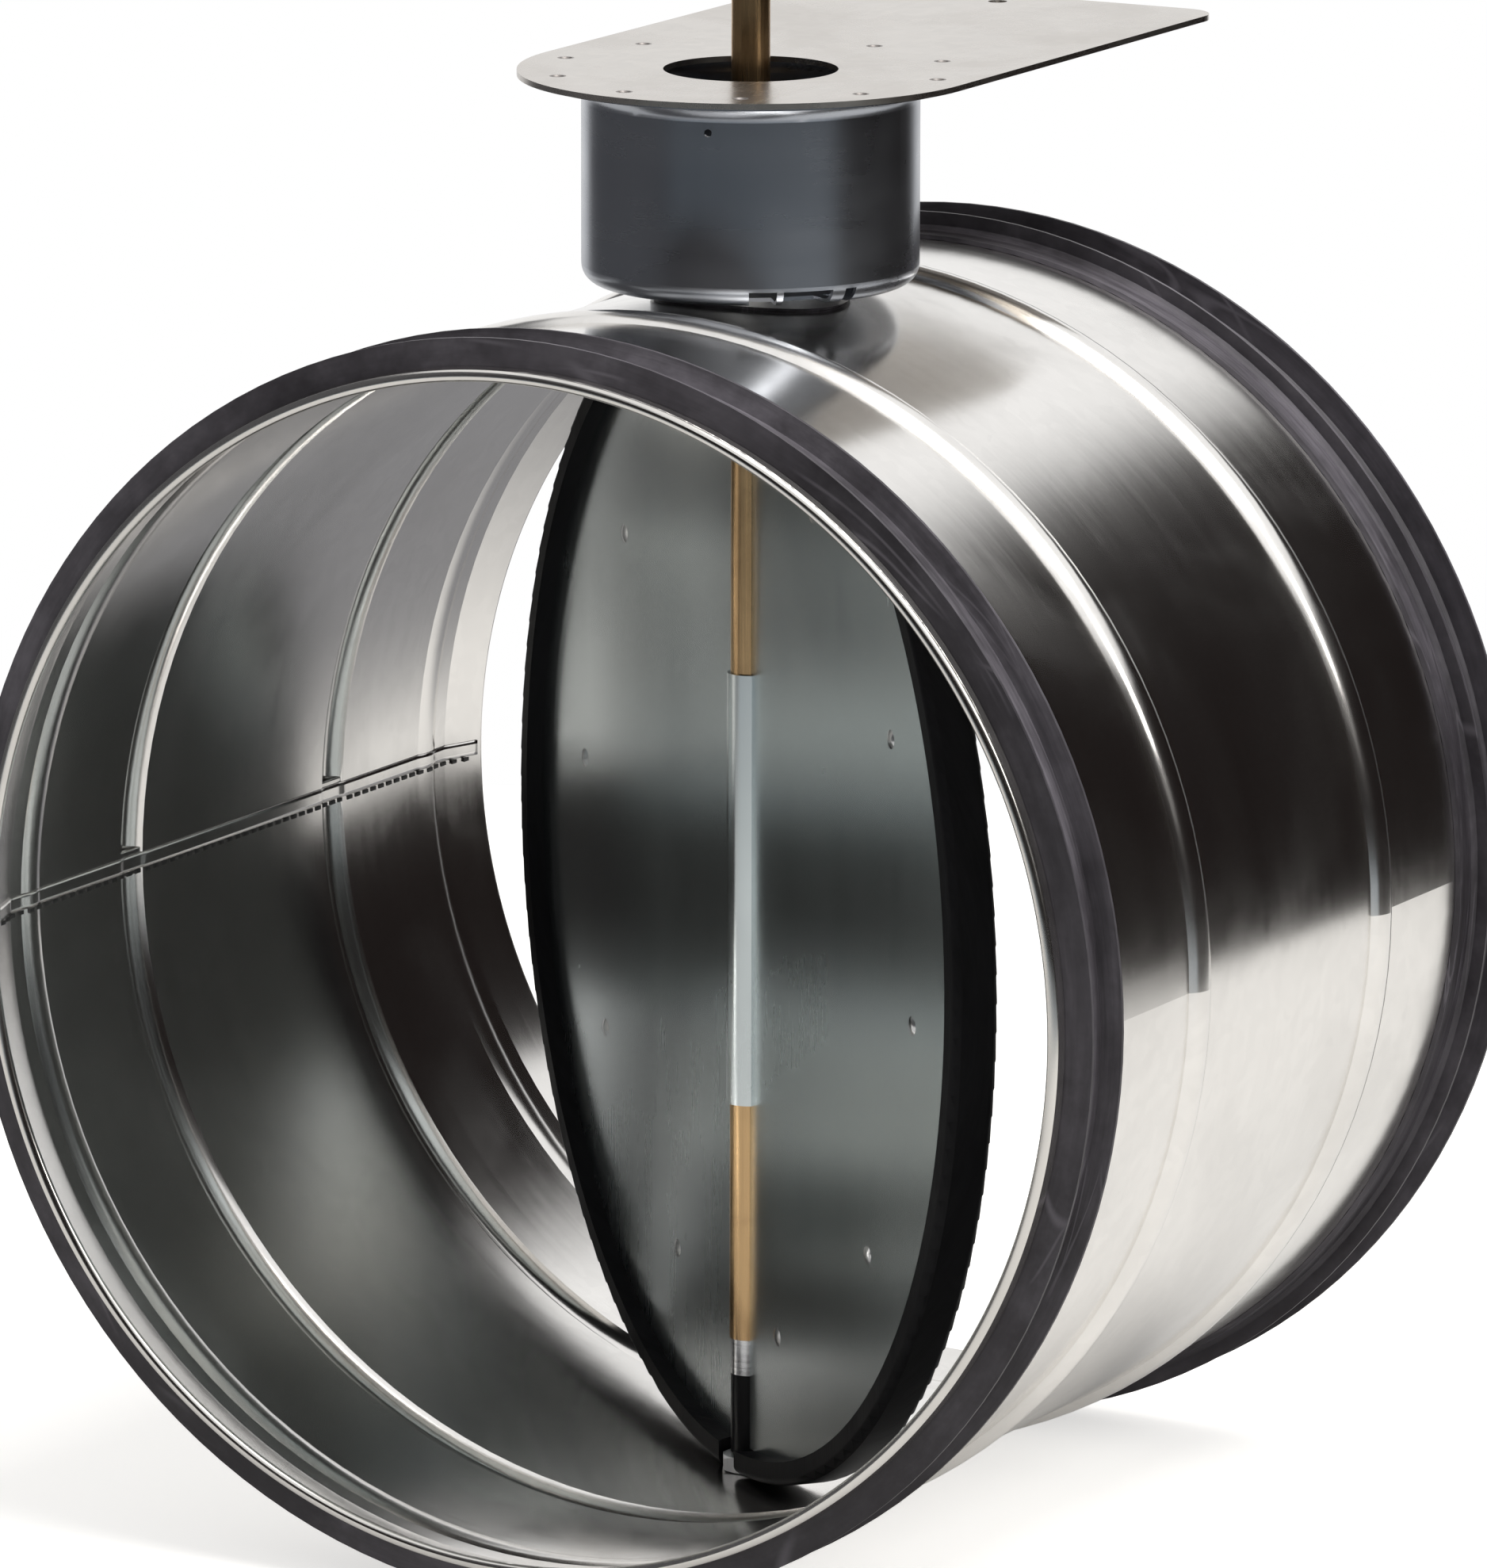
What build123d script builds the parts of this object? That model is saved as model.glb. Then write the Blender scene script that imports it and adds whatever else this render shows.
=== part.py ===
"""Round volume control damper for a 315 mm duct line, with an insulated-duct stand-off and a motor shelf.

Frame: origin where the shaft axis crosses the duct axis. The air runs along Y and the shaft stands along +Z.
"""
import os
from math import cos, radians, sin, sqrt

from build123d import *

os.makedirs("parts", exist_ok=True)

# --- Driving dimensions, millimetres and degrees -------------------------------------------------------------

# Duct casing
duct_bore_r = 155.7
sheet = 0.8
duct_length = 254.0
bead_offset = 52.0  # stiffening bead, from the shaft to the bead's middle
bead_width = 11.0
bead_height = 2.6
seat_bead_inset = 24.5  # shallow inward bead under each gasket, from the duct's end to its middle
seat_bead_width = 9.0
seat_bead_depth = 0.7
lead_in_length = 14.5  # each end narrows here, to enter the next duct
lead_in_drop = 3.9
nose_r = 1.6
hem_reach = 3.8  # the fold that holds the gasket's front edge, from the duct's end
seam_width = 7.0
seam_height = 1.2

# Spigot gaskets
gasket_foot = 1.2
gasket_width = 28.0
lip_reach = 5.9  # past the duct's outside, before the lips bend in the next duct
lip_root = 2.8
lip_tip = 1.0
front_lip_lean = 0.9
rear_lip_lean = 2.0
rear_lip_step = 15.0  # from the front lip to the rear one

# Blade
blade_angle = -40.1  # turned about Z from closed
disc_edge = 6.3  # from the discs' edge out to the seal's crown
disc_sheet = 0.8
seal_gap = 0.4  # between the seal's crown and the duct's wall
seal_half_width = 6.2
seal_round = 2.2
seal_web = 1.6
seal_web_margin = 9.0  # rubber inside the clinch points' circle
bridge_half = 57.0  # the front bridge's half length along the shaft
rear_bridge_past = 6.0  # past the shaft's lower end
clinch_inset = 32.0  # from the discs' edge
clinch_count = 10
clinch_start = -6.0
clinch_r = 1.5
clinch_head_r = 2.5
clinch_head = 0.6

# Shaft and its lower bearing
shaft_r = 5.0
shaft_projection = 60.0  # free end above the shelf
foot_height = 35.7  # the shaft's lower end above the duct's wall
spigot_r = 3.5
spigot_length = 5.0
ferrule_r = 4.6
ferrule_length = 9.6
journal_r = 3.0
journal_length = 20.4
pin_r = 4.0
pin_head_r = 7.0
pin_head = 4.0
nut_flats = 13.0
nut_height = 4.0
washer_r = 8.0
washer_thickness = 1.0
screw_r = 2.0
screw_inset = 30.0  # from the shaft's lower end
screw_depth = 6.0
screw_head_r = 3.5
screw_head = 2.0

# Upper bearing, on the duct's crown
saddle_r = 26.0
saddle_gasket = 1.0
saddle_plate = 2.0
hub_r = 11.0
hub_height = 14.8
hub_spigot_r = 9.3
bush_r = 7.5
bush_flange_r = 8.4
bush_flange = 1.0
ring_cord_r = 1.3  # O-ring
ring_pocket = 3.6
retainer = 1.0
rivet_r = 1.6
rivet_head_r = 3.0
rivet_head = 1.2
rivet_circle_r = 19.0
thrust_washer_r = 9.0
thrust_washer = 1.0
clip_r = 7.6
clip_thickness = 0.9
clip_groove = 0.4
clip_opening = 70.0

# Stand-off collar and motor shelf
collar_r = 43.5
collar_height = 53.5
collar_sheet = 1.0
collar_bottom_round = 5.0
collar_flange_r = 56.0
collar_flare = 5.0
vent_r = 1.0
vent_angle = -75.9
vent_drop = 8.7
notch_height = 4.0
notch_inner_r = 33.0
notch_sectors = [(-62.0, -52.4), (-50.2, -32.4), (-27.4, -23.0)]  # the tabs stand between these
shelf_width = 120.0
shelf_reach = 150.0
shelf_sheet = 1.5
shelf_corner = 10.0
shelf_hole_r = 22.5
shelf_clinch_circle_r = 51.0
shelf_clinch_start = 7.6
shelf_clinch_r = 2.1
shelf_dimple_r = 1.7
shelf_dimple = 0.8  # the punch leaves the shelf's face flush, with a dimple in it
torque_hole_r = 2.5
torque_hole_y = 137.0

# Clearances
seat_gap = 0.05  # between pieces that sit fast on each other
running_gap = 0.05  # radial, between a journal and its bush
end_gap = 0.3  # along the shaft, between a turning piece and a standing one
sweep_gap = 0.7  # between the blade's seal and what it turns past

# --- Values worked out from them -----------------------------------------------------------------------------

duct_outer_r = duct_bore_r + sheet
duct_half = duct_length / 2
seal_r = duct_bore_r - seal_gap
disc_r = seal_r - disc_edge
clinch_circle_r = disc_r - clinch_inset
seal_web_inner_r = clinch_circle_r - seal_web_margin
shaft_foot = duct_bore_r - foot_height
rear_bridge_end = shaft_foot + rear_bridge_past
screw_height = shaft_foot - screw_inset
bridge_r = shaft_r + seat_gap + disc_sheet
slot_half = shaft_r + seat_gap
disc_back = seal_web / 2  # distance of each disc's inner face from the blade's middle plane
disc_face = disc_back + disc_sheet

saddle_top = duct_outer_r + saddle_gasket + saddle_plate
hub_top = saddle_top + hub_height
collar_top = saddle_top + collar_height
shelf_top = collar_top + shelf_sheet
shaft_top = shelf_top + shaft_projection

nut_corner_r = nut_flats / 2 / cos(radians(30))
nut_seat = sqrt(duct_bore_r**2 - nut_corner_r**2) - seat_gap
nut_top = nut_seat - nut_height
bush_bottom = nut_top - end_gap
journal_top = nut_top - journal_length
ferrule_bottom = shaft_foot + ferrule_length
lower_notch_r = nut_corner_r + sweep_gap
upper_notch_r = shaft_r + sweep_gap

blade_plane = Plane(
    origin=(0, 0, 0),
    x_dir=(cos(radians(blade_angle)), sin(radians(blade_angle)), 0),
    z_dir=(sin(radians(blade_angle)), -cos(radians(blade_angle)), 0),
)
# The blade never turns through the first and third quarters, so the saddle's rivets stand there.
rivet_angles = [45.0, 225.0]


def save(part, name):
    """Label a finished piece and write its STEP file."""
    part.label = name
    export_step(part, f"parts/{name}.step")


def polar(radius, angle):
    """Point on a circle about the origin of a plane."""
    return radius * cos(radians(angle)), radius * sin(radians(angle))


rivet_points = [polar(rivet_circle_r, angle) for angle in rivet_angles]

# --- Duct casing: one rolled sheet with beads, lead-ins and hemmed ends --------------------------------------

tip_r = duct_bore_r - lead_in_drop
fold_inset = nose_r + sheet
lead_in_slope = (lead_in_drop - 0.4 * sheet) / (lead_in_length - fold_inset)


def outside_r(inset):
    """Outside of the duct's sheet at a distance from the duct's end, on the lead-in and past it."""
    return duct_outer_r - lead_in_slope * max(0.0, lead_in_length - inset)


hem_r = outside_r(hem_reach) + gasket_foot + sheet

with BuildPart() as duct_casing:
    with BuildSketch(Plane.XY) as casing_profile:
        with BuildLine():
            inner_wall = Line((duct_bore_r, 0), (duct_bore_r, -bead_offset + bead_width / 2))
            inner_bead = ThreePointArc(
                inner_wall @ 1,
                (duct_bore_r + bead_height, -bead_offset),
                (duct_bore_r, -bead_offset - bead_width / 2),
            )
            seat_y = -duct_half + seat_bead_inset
            inner_run = Line(inner_bead @ 1, (duct_bore_r, seat_y + seat_bead_width / 2))
            inner_seat = ThreePointArc(
                inner_run @ 1,
                (duct_bore_r - seat_bead_depth, seat_y),
                (duct_bore_r, seat_y - seat_bead_width / 2),
            )
            lead_in = Polyline(
                inner_seat @ 1,
                (duct_bore_r, -duct_half + lead_in_length),
                (tip_r, -duct_half + nose_r),
            )
            nose = ThreePointArc(
                lead_in @ 1,
                (tip_r + nose_r, -duct_half),
                (tip_r + 2 * nose_r, -duct_half + nose_r),
            )
            hem_leg = Polyline(
                nose @ 1,
                (hem_r, -duct_half + hem_reach),
                (hem_r - sheet, -duct_half + hem_reach),
                (outside_r(fold_inset) + gasket_foot, -duct_half + fold_inset),
                (outside_r(fold_inset), -duct_half + fold_inset),
                (duct_outer_r, -duct_half + lead_in_length),
                (duct_outer_r, seat_y - seat_bead_width / 2),
            )
            outer_seat = ThreePointArc(
                hem_leg @ 1,
                (duct_outer_r - seat_bead_depth, seat_y),
                (duct_outer_r, seat_y + seat_bead_width / 2),
            )
            outer_run = Line(outer_seat @ 1, (duct_outer_r, -bead_offset - bead_width / 2))
            outer_bead = ThreePointArc(
                outer_run @ 1,
                (duct_outer_r + bead_height, -bead_offset),
                (duct_outer_r, -bead_offset + bead_width / 2),
            )
            Polyline(outer_bead @ 1, (duct_outer_r, 0), inner_wall @ 0)
        make_face()
        mirror(about=Plane.XZ)
    revolve(axis=Axis.Y)
    # Longitudinal lock seam, folded flat on the outside of the -X wall
    seam_length = 2 * (duct_half - seat_bead_inset - seat_bead_width)
    with BuildSketch(Plane.XZ.offset(-seam_length / 2)):
        with Locations((-duct_outer_r - seam_height / 2 + sheet / 4, 0)):
            RectangleRounded(seam_height + sheet / 2, seam_width, sheet / 2)
    extrude(amount=seam_length)
    # Shaft hole in the crown, pivot hole in the bottom, and the saddle's rivet holes
    with BuildSketch(Plane.XY.offset(duct_half)):
        Circle(hub_spigot_r + seat_gap)
        with Locations(*rivet_points):
            Circle(rivet_r + seat_gap)
    extrude(amount=duct_outer_r, mode=Mode.SUBTRACT)
    with BuildSketch(Plane.XY.offset(-duct_half)):
        Circle(pin_r + seat_gap)
    extrude(amount=-duct_outer_r, mode=Mode.SUBTRACT)
save(duct_casing.part, "duct_casing")

# --- Double-lipped spigot gaskets, held by the hem -----------------------------------------------------------

foot_start = fold_inset + seat_gap
front_lip = hem_reach + 2 * seat_gap
lip_r = duct_outer_r + lip_reach


def foot_point(inset, side):
    """Point on the gasket's foot at a distance from the duct's end, on its under side or its top side."""
    height = seat_gap if side == "under" else gasket_foot - seat_gap
    return outside_r(inset) + height, inset - duct_half


def lip_points(start, lean):
    """Outline of one lip on the gasket's foot, leaning away from the duct's end."""
    root = start + lip_root
    return [
        foot_point(start, "top"),
        (lip_r, start + lean - duct_half),
        (lip_r, start + lean + lip_tip - duct_half),
        (outside_r(root) + 2 * gasket_foot, root - duct_half),
        foot_point(root + gasket_foot, "top"),
    ]


with BuildPart() as inlet_gasket:
    with BuildSketch(Plane.XY):
        with BuildLine():
            Polyline(
                foot_point(foot_start, "under"),
                foot_point(foot_start, "top"),
                *lip_points(front_lip, front_lip_lean),
                foot_point(lead_in_length, "top"),
                *lip_points(front_lip + rear_lip_step, rear_lip_lean),
                foot_point(foot_start + gasket_width - gasket_foot / 2, "top"),
                foot_point(foot_start + gasket_width, "under"),
                foot_point(lead_in_length, "under"),
                close=True,
            )
        make_face()
    revolve(axis=Axis.Y)
save(inlet_gasket.part, "inlet_gasket")

with BuildPart() as outlet_gasket:
    mirror(inlet_gasket.part, about=Plane.XZ)
save(outlet_gasket.part, "outlet_gasket")

# --- Blade: two galvanised discs over a rubber seal ----------------------------------------------------------


def blade_disc(side):
    """One disc with its half-round bridges over the shaft, on the side of the blade's plane given by 1 or -1."""
    bridges = [(-bridge_half, bridge_half)]
    if side < 0:
        bridges = [(-rear_bridge_end, -bridge_half), (bridge_half, rear_bridge_end)]
    with BuildPart() as disc:
        with BuildSketch(blade_plane.offset(side * disc_back)):
            Circle(disc_r)
            Rectangle(2 * slot_half, 2 * disc_r, mode=Mode.SUBTRACT)
        extrude(amount=side * disc_sheet)
        for low, high in bridges:
            across = Plane(origin=(0, 0, low), x_dir=blade_plane.x_dir, z_dir=(0, 0, 1))
            with BuildSketch(across):
                Circle(bridge_r)
                Circle(shaft_r + seat_gap, mode=Mode.SUBTRACT)
                # Only the half that stands out of this disc stays
                with Locations((0, side * (bridge_r - disc_back))):
                    Rectangle(4 * bridge_r, 2 * bridge_r, mode=Mode.SUBTRACT)
            extrude(amount=high - low)
        with BuildSketch(blade_plane.offset(-disc_r / 2)):
            with PolarLocations(clinch_circle_r, clinch_count, start_angle=clinch_start):
                Circle(clinch_r + seat_gap)
        extrude(amount=disc_r, mode=Mode.SUBTRACT)
    return disc.part


blade_front_disc = blade_disc(1)
save(blade_front_disc, "blade_front_disc")

with BuildPart() as blade_rear_disc:
    add(blade_disc(-1))
    with BuildSketch(blade_plane):
        with Locations((0, screw_height), (0, -screw_height)):
            Circle(screw_r + seat_gap)
    extrude(amount=-2 * bridge_r, mode=Mode.SUBTRACT)
save(blade_rear_disc.part, "blade_rear_disc")

with BuildPart() as blade_seal:
    with BuildSketch(blade_plane.offset(-seal_half_width)):
        Circle(seal_r)
        Circle(disc_r + seat_gap, mode=Mode.SUBTRACT)
    extrude(amount=2 * seal_half_width)
    crown_edges = blade_seal.edges().filter_by(GeomType.CIRCLE).sort_by(lambda edge: edge.radius)[-2:]
    fillet(crown_edges, seal_round)
    with BuildSketch(blade_plane.offset(-disc_back + seat_gap)):
        Circle(disc_r + 2 * seat_gap)
        Circle(seal_web_inner_r, mode=Mode.SUBTRACT)
    extrude(amount=2 * (disc_back - seat_gap))
    with BuildSketch(blade_plane.offset(-seal_half_width)):
        Rectangle(2 * slot_half, 2 * seal_r)
        with PolarLocations(clinch_circle_r, clinch_count, start_angle=clinch_start):
            Circle(clinch_r + seat_gap)
    extrude(amount=2 * seal_half_width, mode=Mode.SUBTRACT)
    # Openings for the upper shaft and for the lower pivot's nut
    with BuildSketch(Plane.XY.offset(disc_r - seal_half_width)):
        Circle(upper_notch_r)
    extrude(amount=disc_r, mode=Mode.SUBTRACT)
    with BuildSketch(Plane.XY.offset(-disc_r + seal_half_width)):
        Circle(lower_notch_r)
    extrude(amount=-disc_r, mode=Mode.SUBTRACT)
save(blade_seal.part, "blade_seal")


def rivet_profile(front, back, shank_r, head_r, head, plane):
    """Half outline of a rivet on a plane whose Y is the rivet's axis, between two clamped faces."""
    with BuildSketch(plane) as outline:
        with BuildLine():
            Line((0, front + head), (0, back - head))
            TangentArc((0, front + head), (head_r, front), tangent=(1, 0))
            Polyline((head_r, front), (shank_r, front), (shank_r, back), (head_r, back))
            TangentArc((0, back - head), (head_r, back), tangent=(1, 0))
        make_face()
    return outline.sketch


with BuildPart() as blade_clinches:
    for index in range(clinch_count):
        turn = clinch_start + index * 360 / clinch_count
        x, y = polar(clinch_circle_r, turn)
        centre = blade_plane.from_local_coords((x, y, 0))
        stand = Plane(origin=centre, x_dir=(0, 0, 1), z_dir=-blade_plane.x_dir)
        add(rivet_profile(disc_face, -disc_face, clinch_r, clinch_head_r, clinch_head, stand))
        revolve(axis=Axis(centre, blade_plane.z_dir))
save(blade_clinches.part, "blade_clinches")

# --- Shaft, with its lower ferrule, bush and fixed pivot -----------------------------------------------------

clip_seat = hub_top + end_gap + thrust_washer + seat_gap
with BuildPart() as shaft:
    with BuildSketch(Plane.XY.offset(-shaft_foot)):
        Circle(shaft_r)
    extrude(amount=shaft_foot + shaft_top)
    chamfer(shaft.edges().filter_by(GeomType.CIRCLE).sort_by(Axis.Z)[-1], clip_groove)
    with BuildSketch(Plane.XY.offset(-shaft_foot)):
        Circle(spigot_r)
    extrude(amount=-spigot_length)
    with BuildSketch(Plane.XY.offset(clip_seat)):
        Circle(shaft_r)
        Circle(shaft_r - clip_groove, mode=Mode.SUBTRACT)
    extrude(amount=clip_thickness + 2 * seat_gap, mode=Mode.SUBTRACT)
    # Saw cut across the free end, in line with the blade
    cut_plane = Plane(origin=(0, 0, shaft_top), x_dir=blade_plane.x_dir, z_dir=(0, 0, 1))
    with BuildSketch(cut_plane):
        Rectangle(2.2 * shaft_r, shaft_r / 4)
    extrude(amount=-shaft_r / 4, mode=Mode.SUBTRACT)
    # Blind holes for the two blade screws, from behind
    with BuildSketch(blade_plane.offset(-2 * shaft_r)):
        with Locations((0, screw_height), (0, -screw_height)):
            Circle(screw_r)
    extrude(amount=shaft_r + screw_depth, mode=Mode.SUBTRACT)
save(shaft.part, "shaft")

with BuildPart() as shaft_screws:
    head_face = -bridge_r - seat_gap
    with BuildSketch(blade_plane.offset(head_face)):
        with Locations((0, screw_height), (0, -screw_height)):
            Circle(screw_head_r)
    extrude(amount=-screw_head)
    through_blade = Axis(origin=(0, 0, 0), direction=blade_plane.z_dir)
    chamfer(shaft_screws.faces().sort_by(through_blade)[:2].edges(), 0.3 * screw_head)
    with BuildSketch(blade_plane.offset(head_face)):
        with Locations((0, screw_height), (0, -screw_height)):
            Circle(screw_r - seat_gap)
    extrude(amount=bridge_r - shaft_r + screw_depth - seat_gap)
    with BuildSketch(blade_plane.offset(head_face - screw_head)):
        with Locations((0, screw_height), (0, -screw_height)):
            Rectangle(1.5 * screw_head_r, 0.3 * screw_head_r)
            Rectangle(0.3 * screw_head_r, 1.5 * screw_head_r)
    extrude(amount=0.6 * screw_head, mode=Mode.SUBTRACT)
save(shaft_screws.part, "shaft_screws")

with BuildPart() as shaft_ferrule:
    with BuildSketch(Plane.XY.offset(-shaft_foot - seat_gap)):
        Circle(ferrule_r)
        Circle(spigot_r + seat_gap, mode=Mode.SUBTRACT)
    extrude(amount=-ferrule_length + 2 * seat_gap)
save(shaft_ferrule.part, "shaft_ferrule")

with BuildPart() as lower_bush:
    with BuildSketch(Plane.XY.offset(-bush_bottom)):
        Circle(ferrule_r)
    extrude(amount=bush_bottom - ferrule_bottom)
    chamfer(lower_bush.edges().sort_by(Axis.Z)[0], 0.1 * ferrule_r)
    with BuildSketch(Plane.XY.offset(-ferrule_bottom)):
        Circle(spigot_r)
    extrude(amount=ferrule_length - spigot_length - end_gap)
    with BuildSketch(Plane.XY.offset(-bush_bottom)):
        Circle(journal_r + running_gap)
    extrude(amount=bush_bottom - journal_top + end_gap, mode=Mode.SUBTRACT)
save(lower_bush.part, "lower_bush")

pin_face = duct_outer_r + seat_gap + washer_thickness
with BuildPart() as pivot_pin:
    with BuildSketch(Plane.XZ):
        with BuildLine():
            Polyline(
                (0, -journal_top),
                (journal_r - 0.1 * journal_r, -journal_top),
                (journal_r, -journal_top - 0.1 * journal_r),
                (journal_r, -nut_top),
                (pin_r, -nut_top),
                (pin_r, -pin_face),
                (pin_head_r, -pin_face),
                (pin_head_r, -pin_face - pin_head / 2),
            )
            TangentArc((0, -pin_face - pin_head), (pin_head_r, -pin_face - pin_head / 2), tangent=(1, 0))
            Line((0, -pin_face - pin_head), (0, -journal_top))
        make_face()
    revolve(axis=Axis.Z)
    with BuildSketch(Plane.XY.offset(-pin_face - pin_head)):
        RegularPolygon(0.45 * pin_head_r, 6)
    extrude(amount=0.6 * pin_head, mode=Mode.SUBTRACT)
save(pivot_pin.part, "pivot_pin")

with BuildPart() as pivot_nut:
    with BuildSketch(Plane.XY.offset(-nut_seat)):
        RegularPolygon(nut_corner_r, 6)
    extrude(amount=nut_height)
    # Both faces are turned down to the flats at their corners
    nut_chamfer = nut_corner_r - nut_flats / 2
    with BuildSketch(Plane.XZ):
        with BuildLine():
            Polyline(
                (0, -nut_seat),
                (nut_flats / 2, -nut_seat),
                (nut_corner_r, -nut_seat + nut_chamfer / 2),
                (nut_corner_r, -nut_top - nut_chamfer / 2),
                (nut_flats / 2, -nut_top),
                (0, -nut_top),
                close=True,
            )
        make_face()
    revolve(axis=Axis.Z, mode=Mode.INTERSECT)
    with BuildSketch(Plane.XY.offset(-nut_seat)):
        Circle(pin_r + seat_gap)
    extrude(amount=nut_height, mode=Mode.SUBTRACT)
save(pivot_nut.part, "pivot_nut")

with BuildPart() as pivot_washer:
    with BuildSketch(Plane.XY.offset(-duct_outer_r - seat_gap / 2)):
        Circle(washer_r)
        Circle(pin_r + seat_gap, mode=Mode.SUBTRACT)
    extrude(amount=-washer_thickness)
save(pivot_washer.part, "pivot_washer")

# --- Upper bearing: a saddle on the duct's crown that carries the bush, the O-ring and the collar -------------

crown_low = sqrt(duct_outer_r**2 - saddle_r**2) - saddle_gasket
bush_flange_base = hub_top - ring_pocket - retainer

with BuildPart() as saddle_gasket_pad:
    with BuildSketch(Plane.XY.offset(crown_low)):
        Circle(saddle_r - saddle_gasket)
        Circle(hub_spigot_r + seat_gap, mode=Mode.SUBTRACT)
        with Locations(*rivet_points):
            Circle(rivet_r + seat_gap, mode=Mode.SUBTRACT)
    extrude(amount=saddle_top - crown_low)
    with BuildSketch(Plane.XZ.offset(-saddle_r)):
        Circle(duct_outer_r + saddle_gasket - seat_gap / 2)
        Circle(duct_outer_r + seat_gap / 2, mode=Mode.SUBTRACT)
    extrude(amount=2 * saddle_r, mode=Mode.INTERSECT)
save(saddle_gasket_pad.part, "saddle_gasket")

with BuildPart() as bearing_saddle:
    with BuildSketch(Plane.XY.offset(crown_low)):
        Circle(saddle_r)
    extrude(amount=saddle_top - crown_low)
    with BuildSketch(Plane.XZ.offset(-2 * saddle_r)):
        Circle(duct_outer_r + saddle_gasket)
    extrude(amount=4 * saddle_r, mode=Mode.SUBTRACT)
    with BuildSketch(Plane.XY.offset(duct_bore_r)):
        Circle(hub_spigot_r)
    extrude(amount=saddle_top - duct_bore_r)
    with BuildSketch(Plane.XY.offset(saddle_top)):
        Circle(hub_r)
    extrude(amount=hub_height)
    chamfer(bearing_saddle.edges().filter_by(GeomType.CIRCLE).sort_by(Axis.Z)[-1], 0.8)
    with BuildSketch(Plane.XY.offset(duct_bore_r)):
        Circle(bush_r + seat_gap)
    extrude(amount=hub_top - duct_bore_r, mode=Mode.SUBTRACT)
    with BuildSketch(Plane.XY.offset(bush_flange_base - bush_flange)):
        Circle(bush_flange_r + seat_gap)
    extrude(amount=hub_top - bush_flange_base + bush_flange, mode=Mode.SUBTRACT)
    with BuildSketch(Plane.XY.offset(crown_low)):
        with Locations(*rivet_points):
            Circle(rivet_r + seat_gap)
    extrude(amount=saddle_top - crown_low, mode=Mode.SUBTRACT)
save(bearing_saddle.part, "bearing_saddle")

with BuildPart() as upper_bush:
    with BuildSketch(Plane.XY.offset(duct_bore_r)):
        Circle(bush_r)
    extrude(amount=bush_flange_base - bush_flange - duct_bore_r)
    with BuildSketch(Plane.XY.offset(bush_flange_base - bush_flange)):
        Circle(bush_flange_r)
    extrude(amount=bush_flange)
    with BuildSketch(Plane.XY.offset(duct_bore_r)):
        Circle(shaft_r + running_gap)
    extrude(amount=bush_flange_base - duct_bore_r, mode=Mode.SUBTRACT)
save(upper_bush.part, "upper_bush")

with BuildPart() as shaft_seal_ring:
    with BuildSketch(Plane.XZ):
        with Locations((shaft_r + running_gap + ring_cord_r, bush_flange_base + ring_pocket / 2)):
            Circle(ring_cord_r)
    revolve(axis=Axis.Z)
save(shaft_seal_ring.part, "shaft_seal_ring")

with BuildPart() as seal_retainer:
    with BuildSketch(Plane.XY.offset(hub_top - retainer)):
        Circle(bush_flange_r)
        Circle(shaft_r + end_gap, mode=Mode.SUBTRACT)
    extrude(amount=retainer)
save(seal_retainer.part, "seal_retainer")

with BuildPart() as thrust_ring:
    with BuildSketch(Plane.XY.offset(hub_top + end_gap)):
        Circle(thrust_washer_r)
        Circle(shaft_r + seat_gap, mode=Mode.SUBTRACT)
    extrude(amount=thrust_washer)
save(thrust_ring.part, "thrust_washer")

with BuildPart() as shaft_clip:
    with BuildSketch(Plane.XY.offset(clip_seat + seat_gap)):
        Circle(clip_r)
        Circle(shaft_r - clip_groove + seat_gap, mode=Mode.SUBTRACT)
        with BuildLine():
            Polyline(
                (0, 0),
                polar(2 * clip_r, blade_angle - clip_opening / 2),
                polar(2 * clip_r, blade_angle + clip_opening / 2),
                close=True,
            )
        make_face(mode=Mode.SUBTRACT)
    extrude(amount=clip_thickness)
save(shaft_clip.part, "shaft_clip")

with BuildPart() as saddle_rivets:
    for point in rivet_points:
        inner_face = sqrt(duct_bore_r**2 - (abs(point[0]) + rivet_head_r) ** 2) - seat_gap
        upright = Plane(origin=(point[0], point[1], 0), x_dir=(1, 0, 0), z_dir=(0, -1, 0))
        top_face = saddle_top + collar_sheet + seat_gap
        add(rivet_profile(top_face, inner_face, rivet_r, rivet_head_r, rivet_head, upright))
        revolve(axis=Axis((point[0], point[1], 0), (0, 0, 1)))
save(saddle_rivets.part, "saddle_rivets")

# --- Stand-off collar: a drawn cup with a flared rim ---------------------------------------------------------

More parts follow.
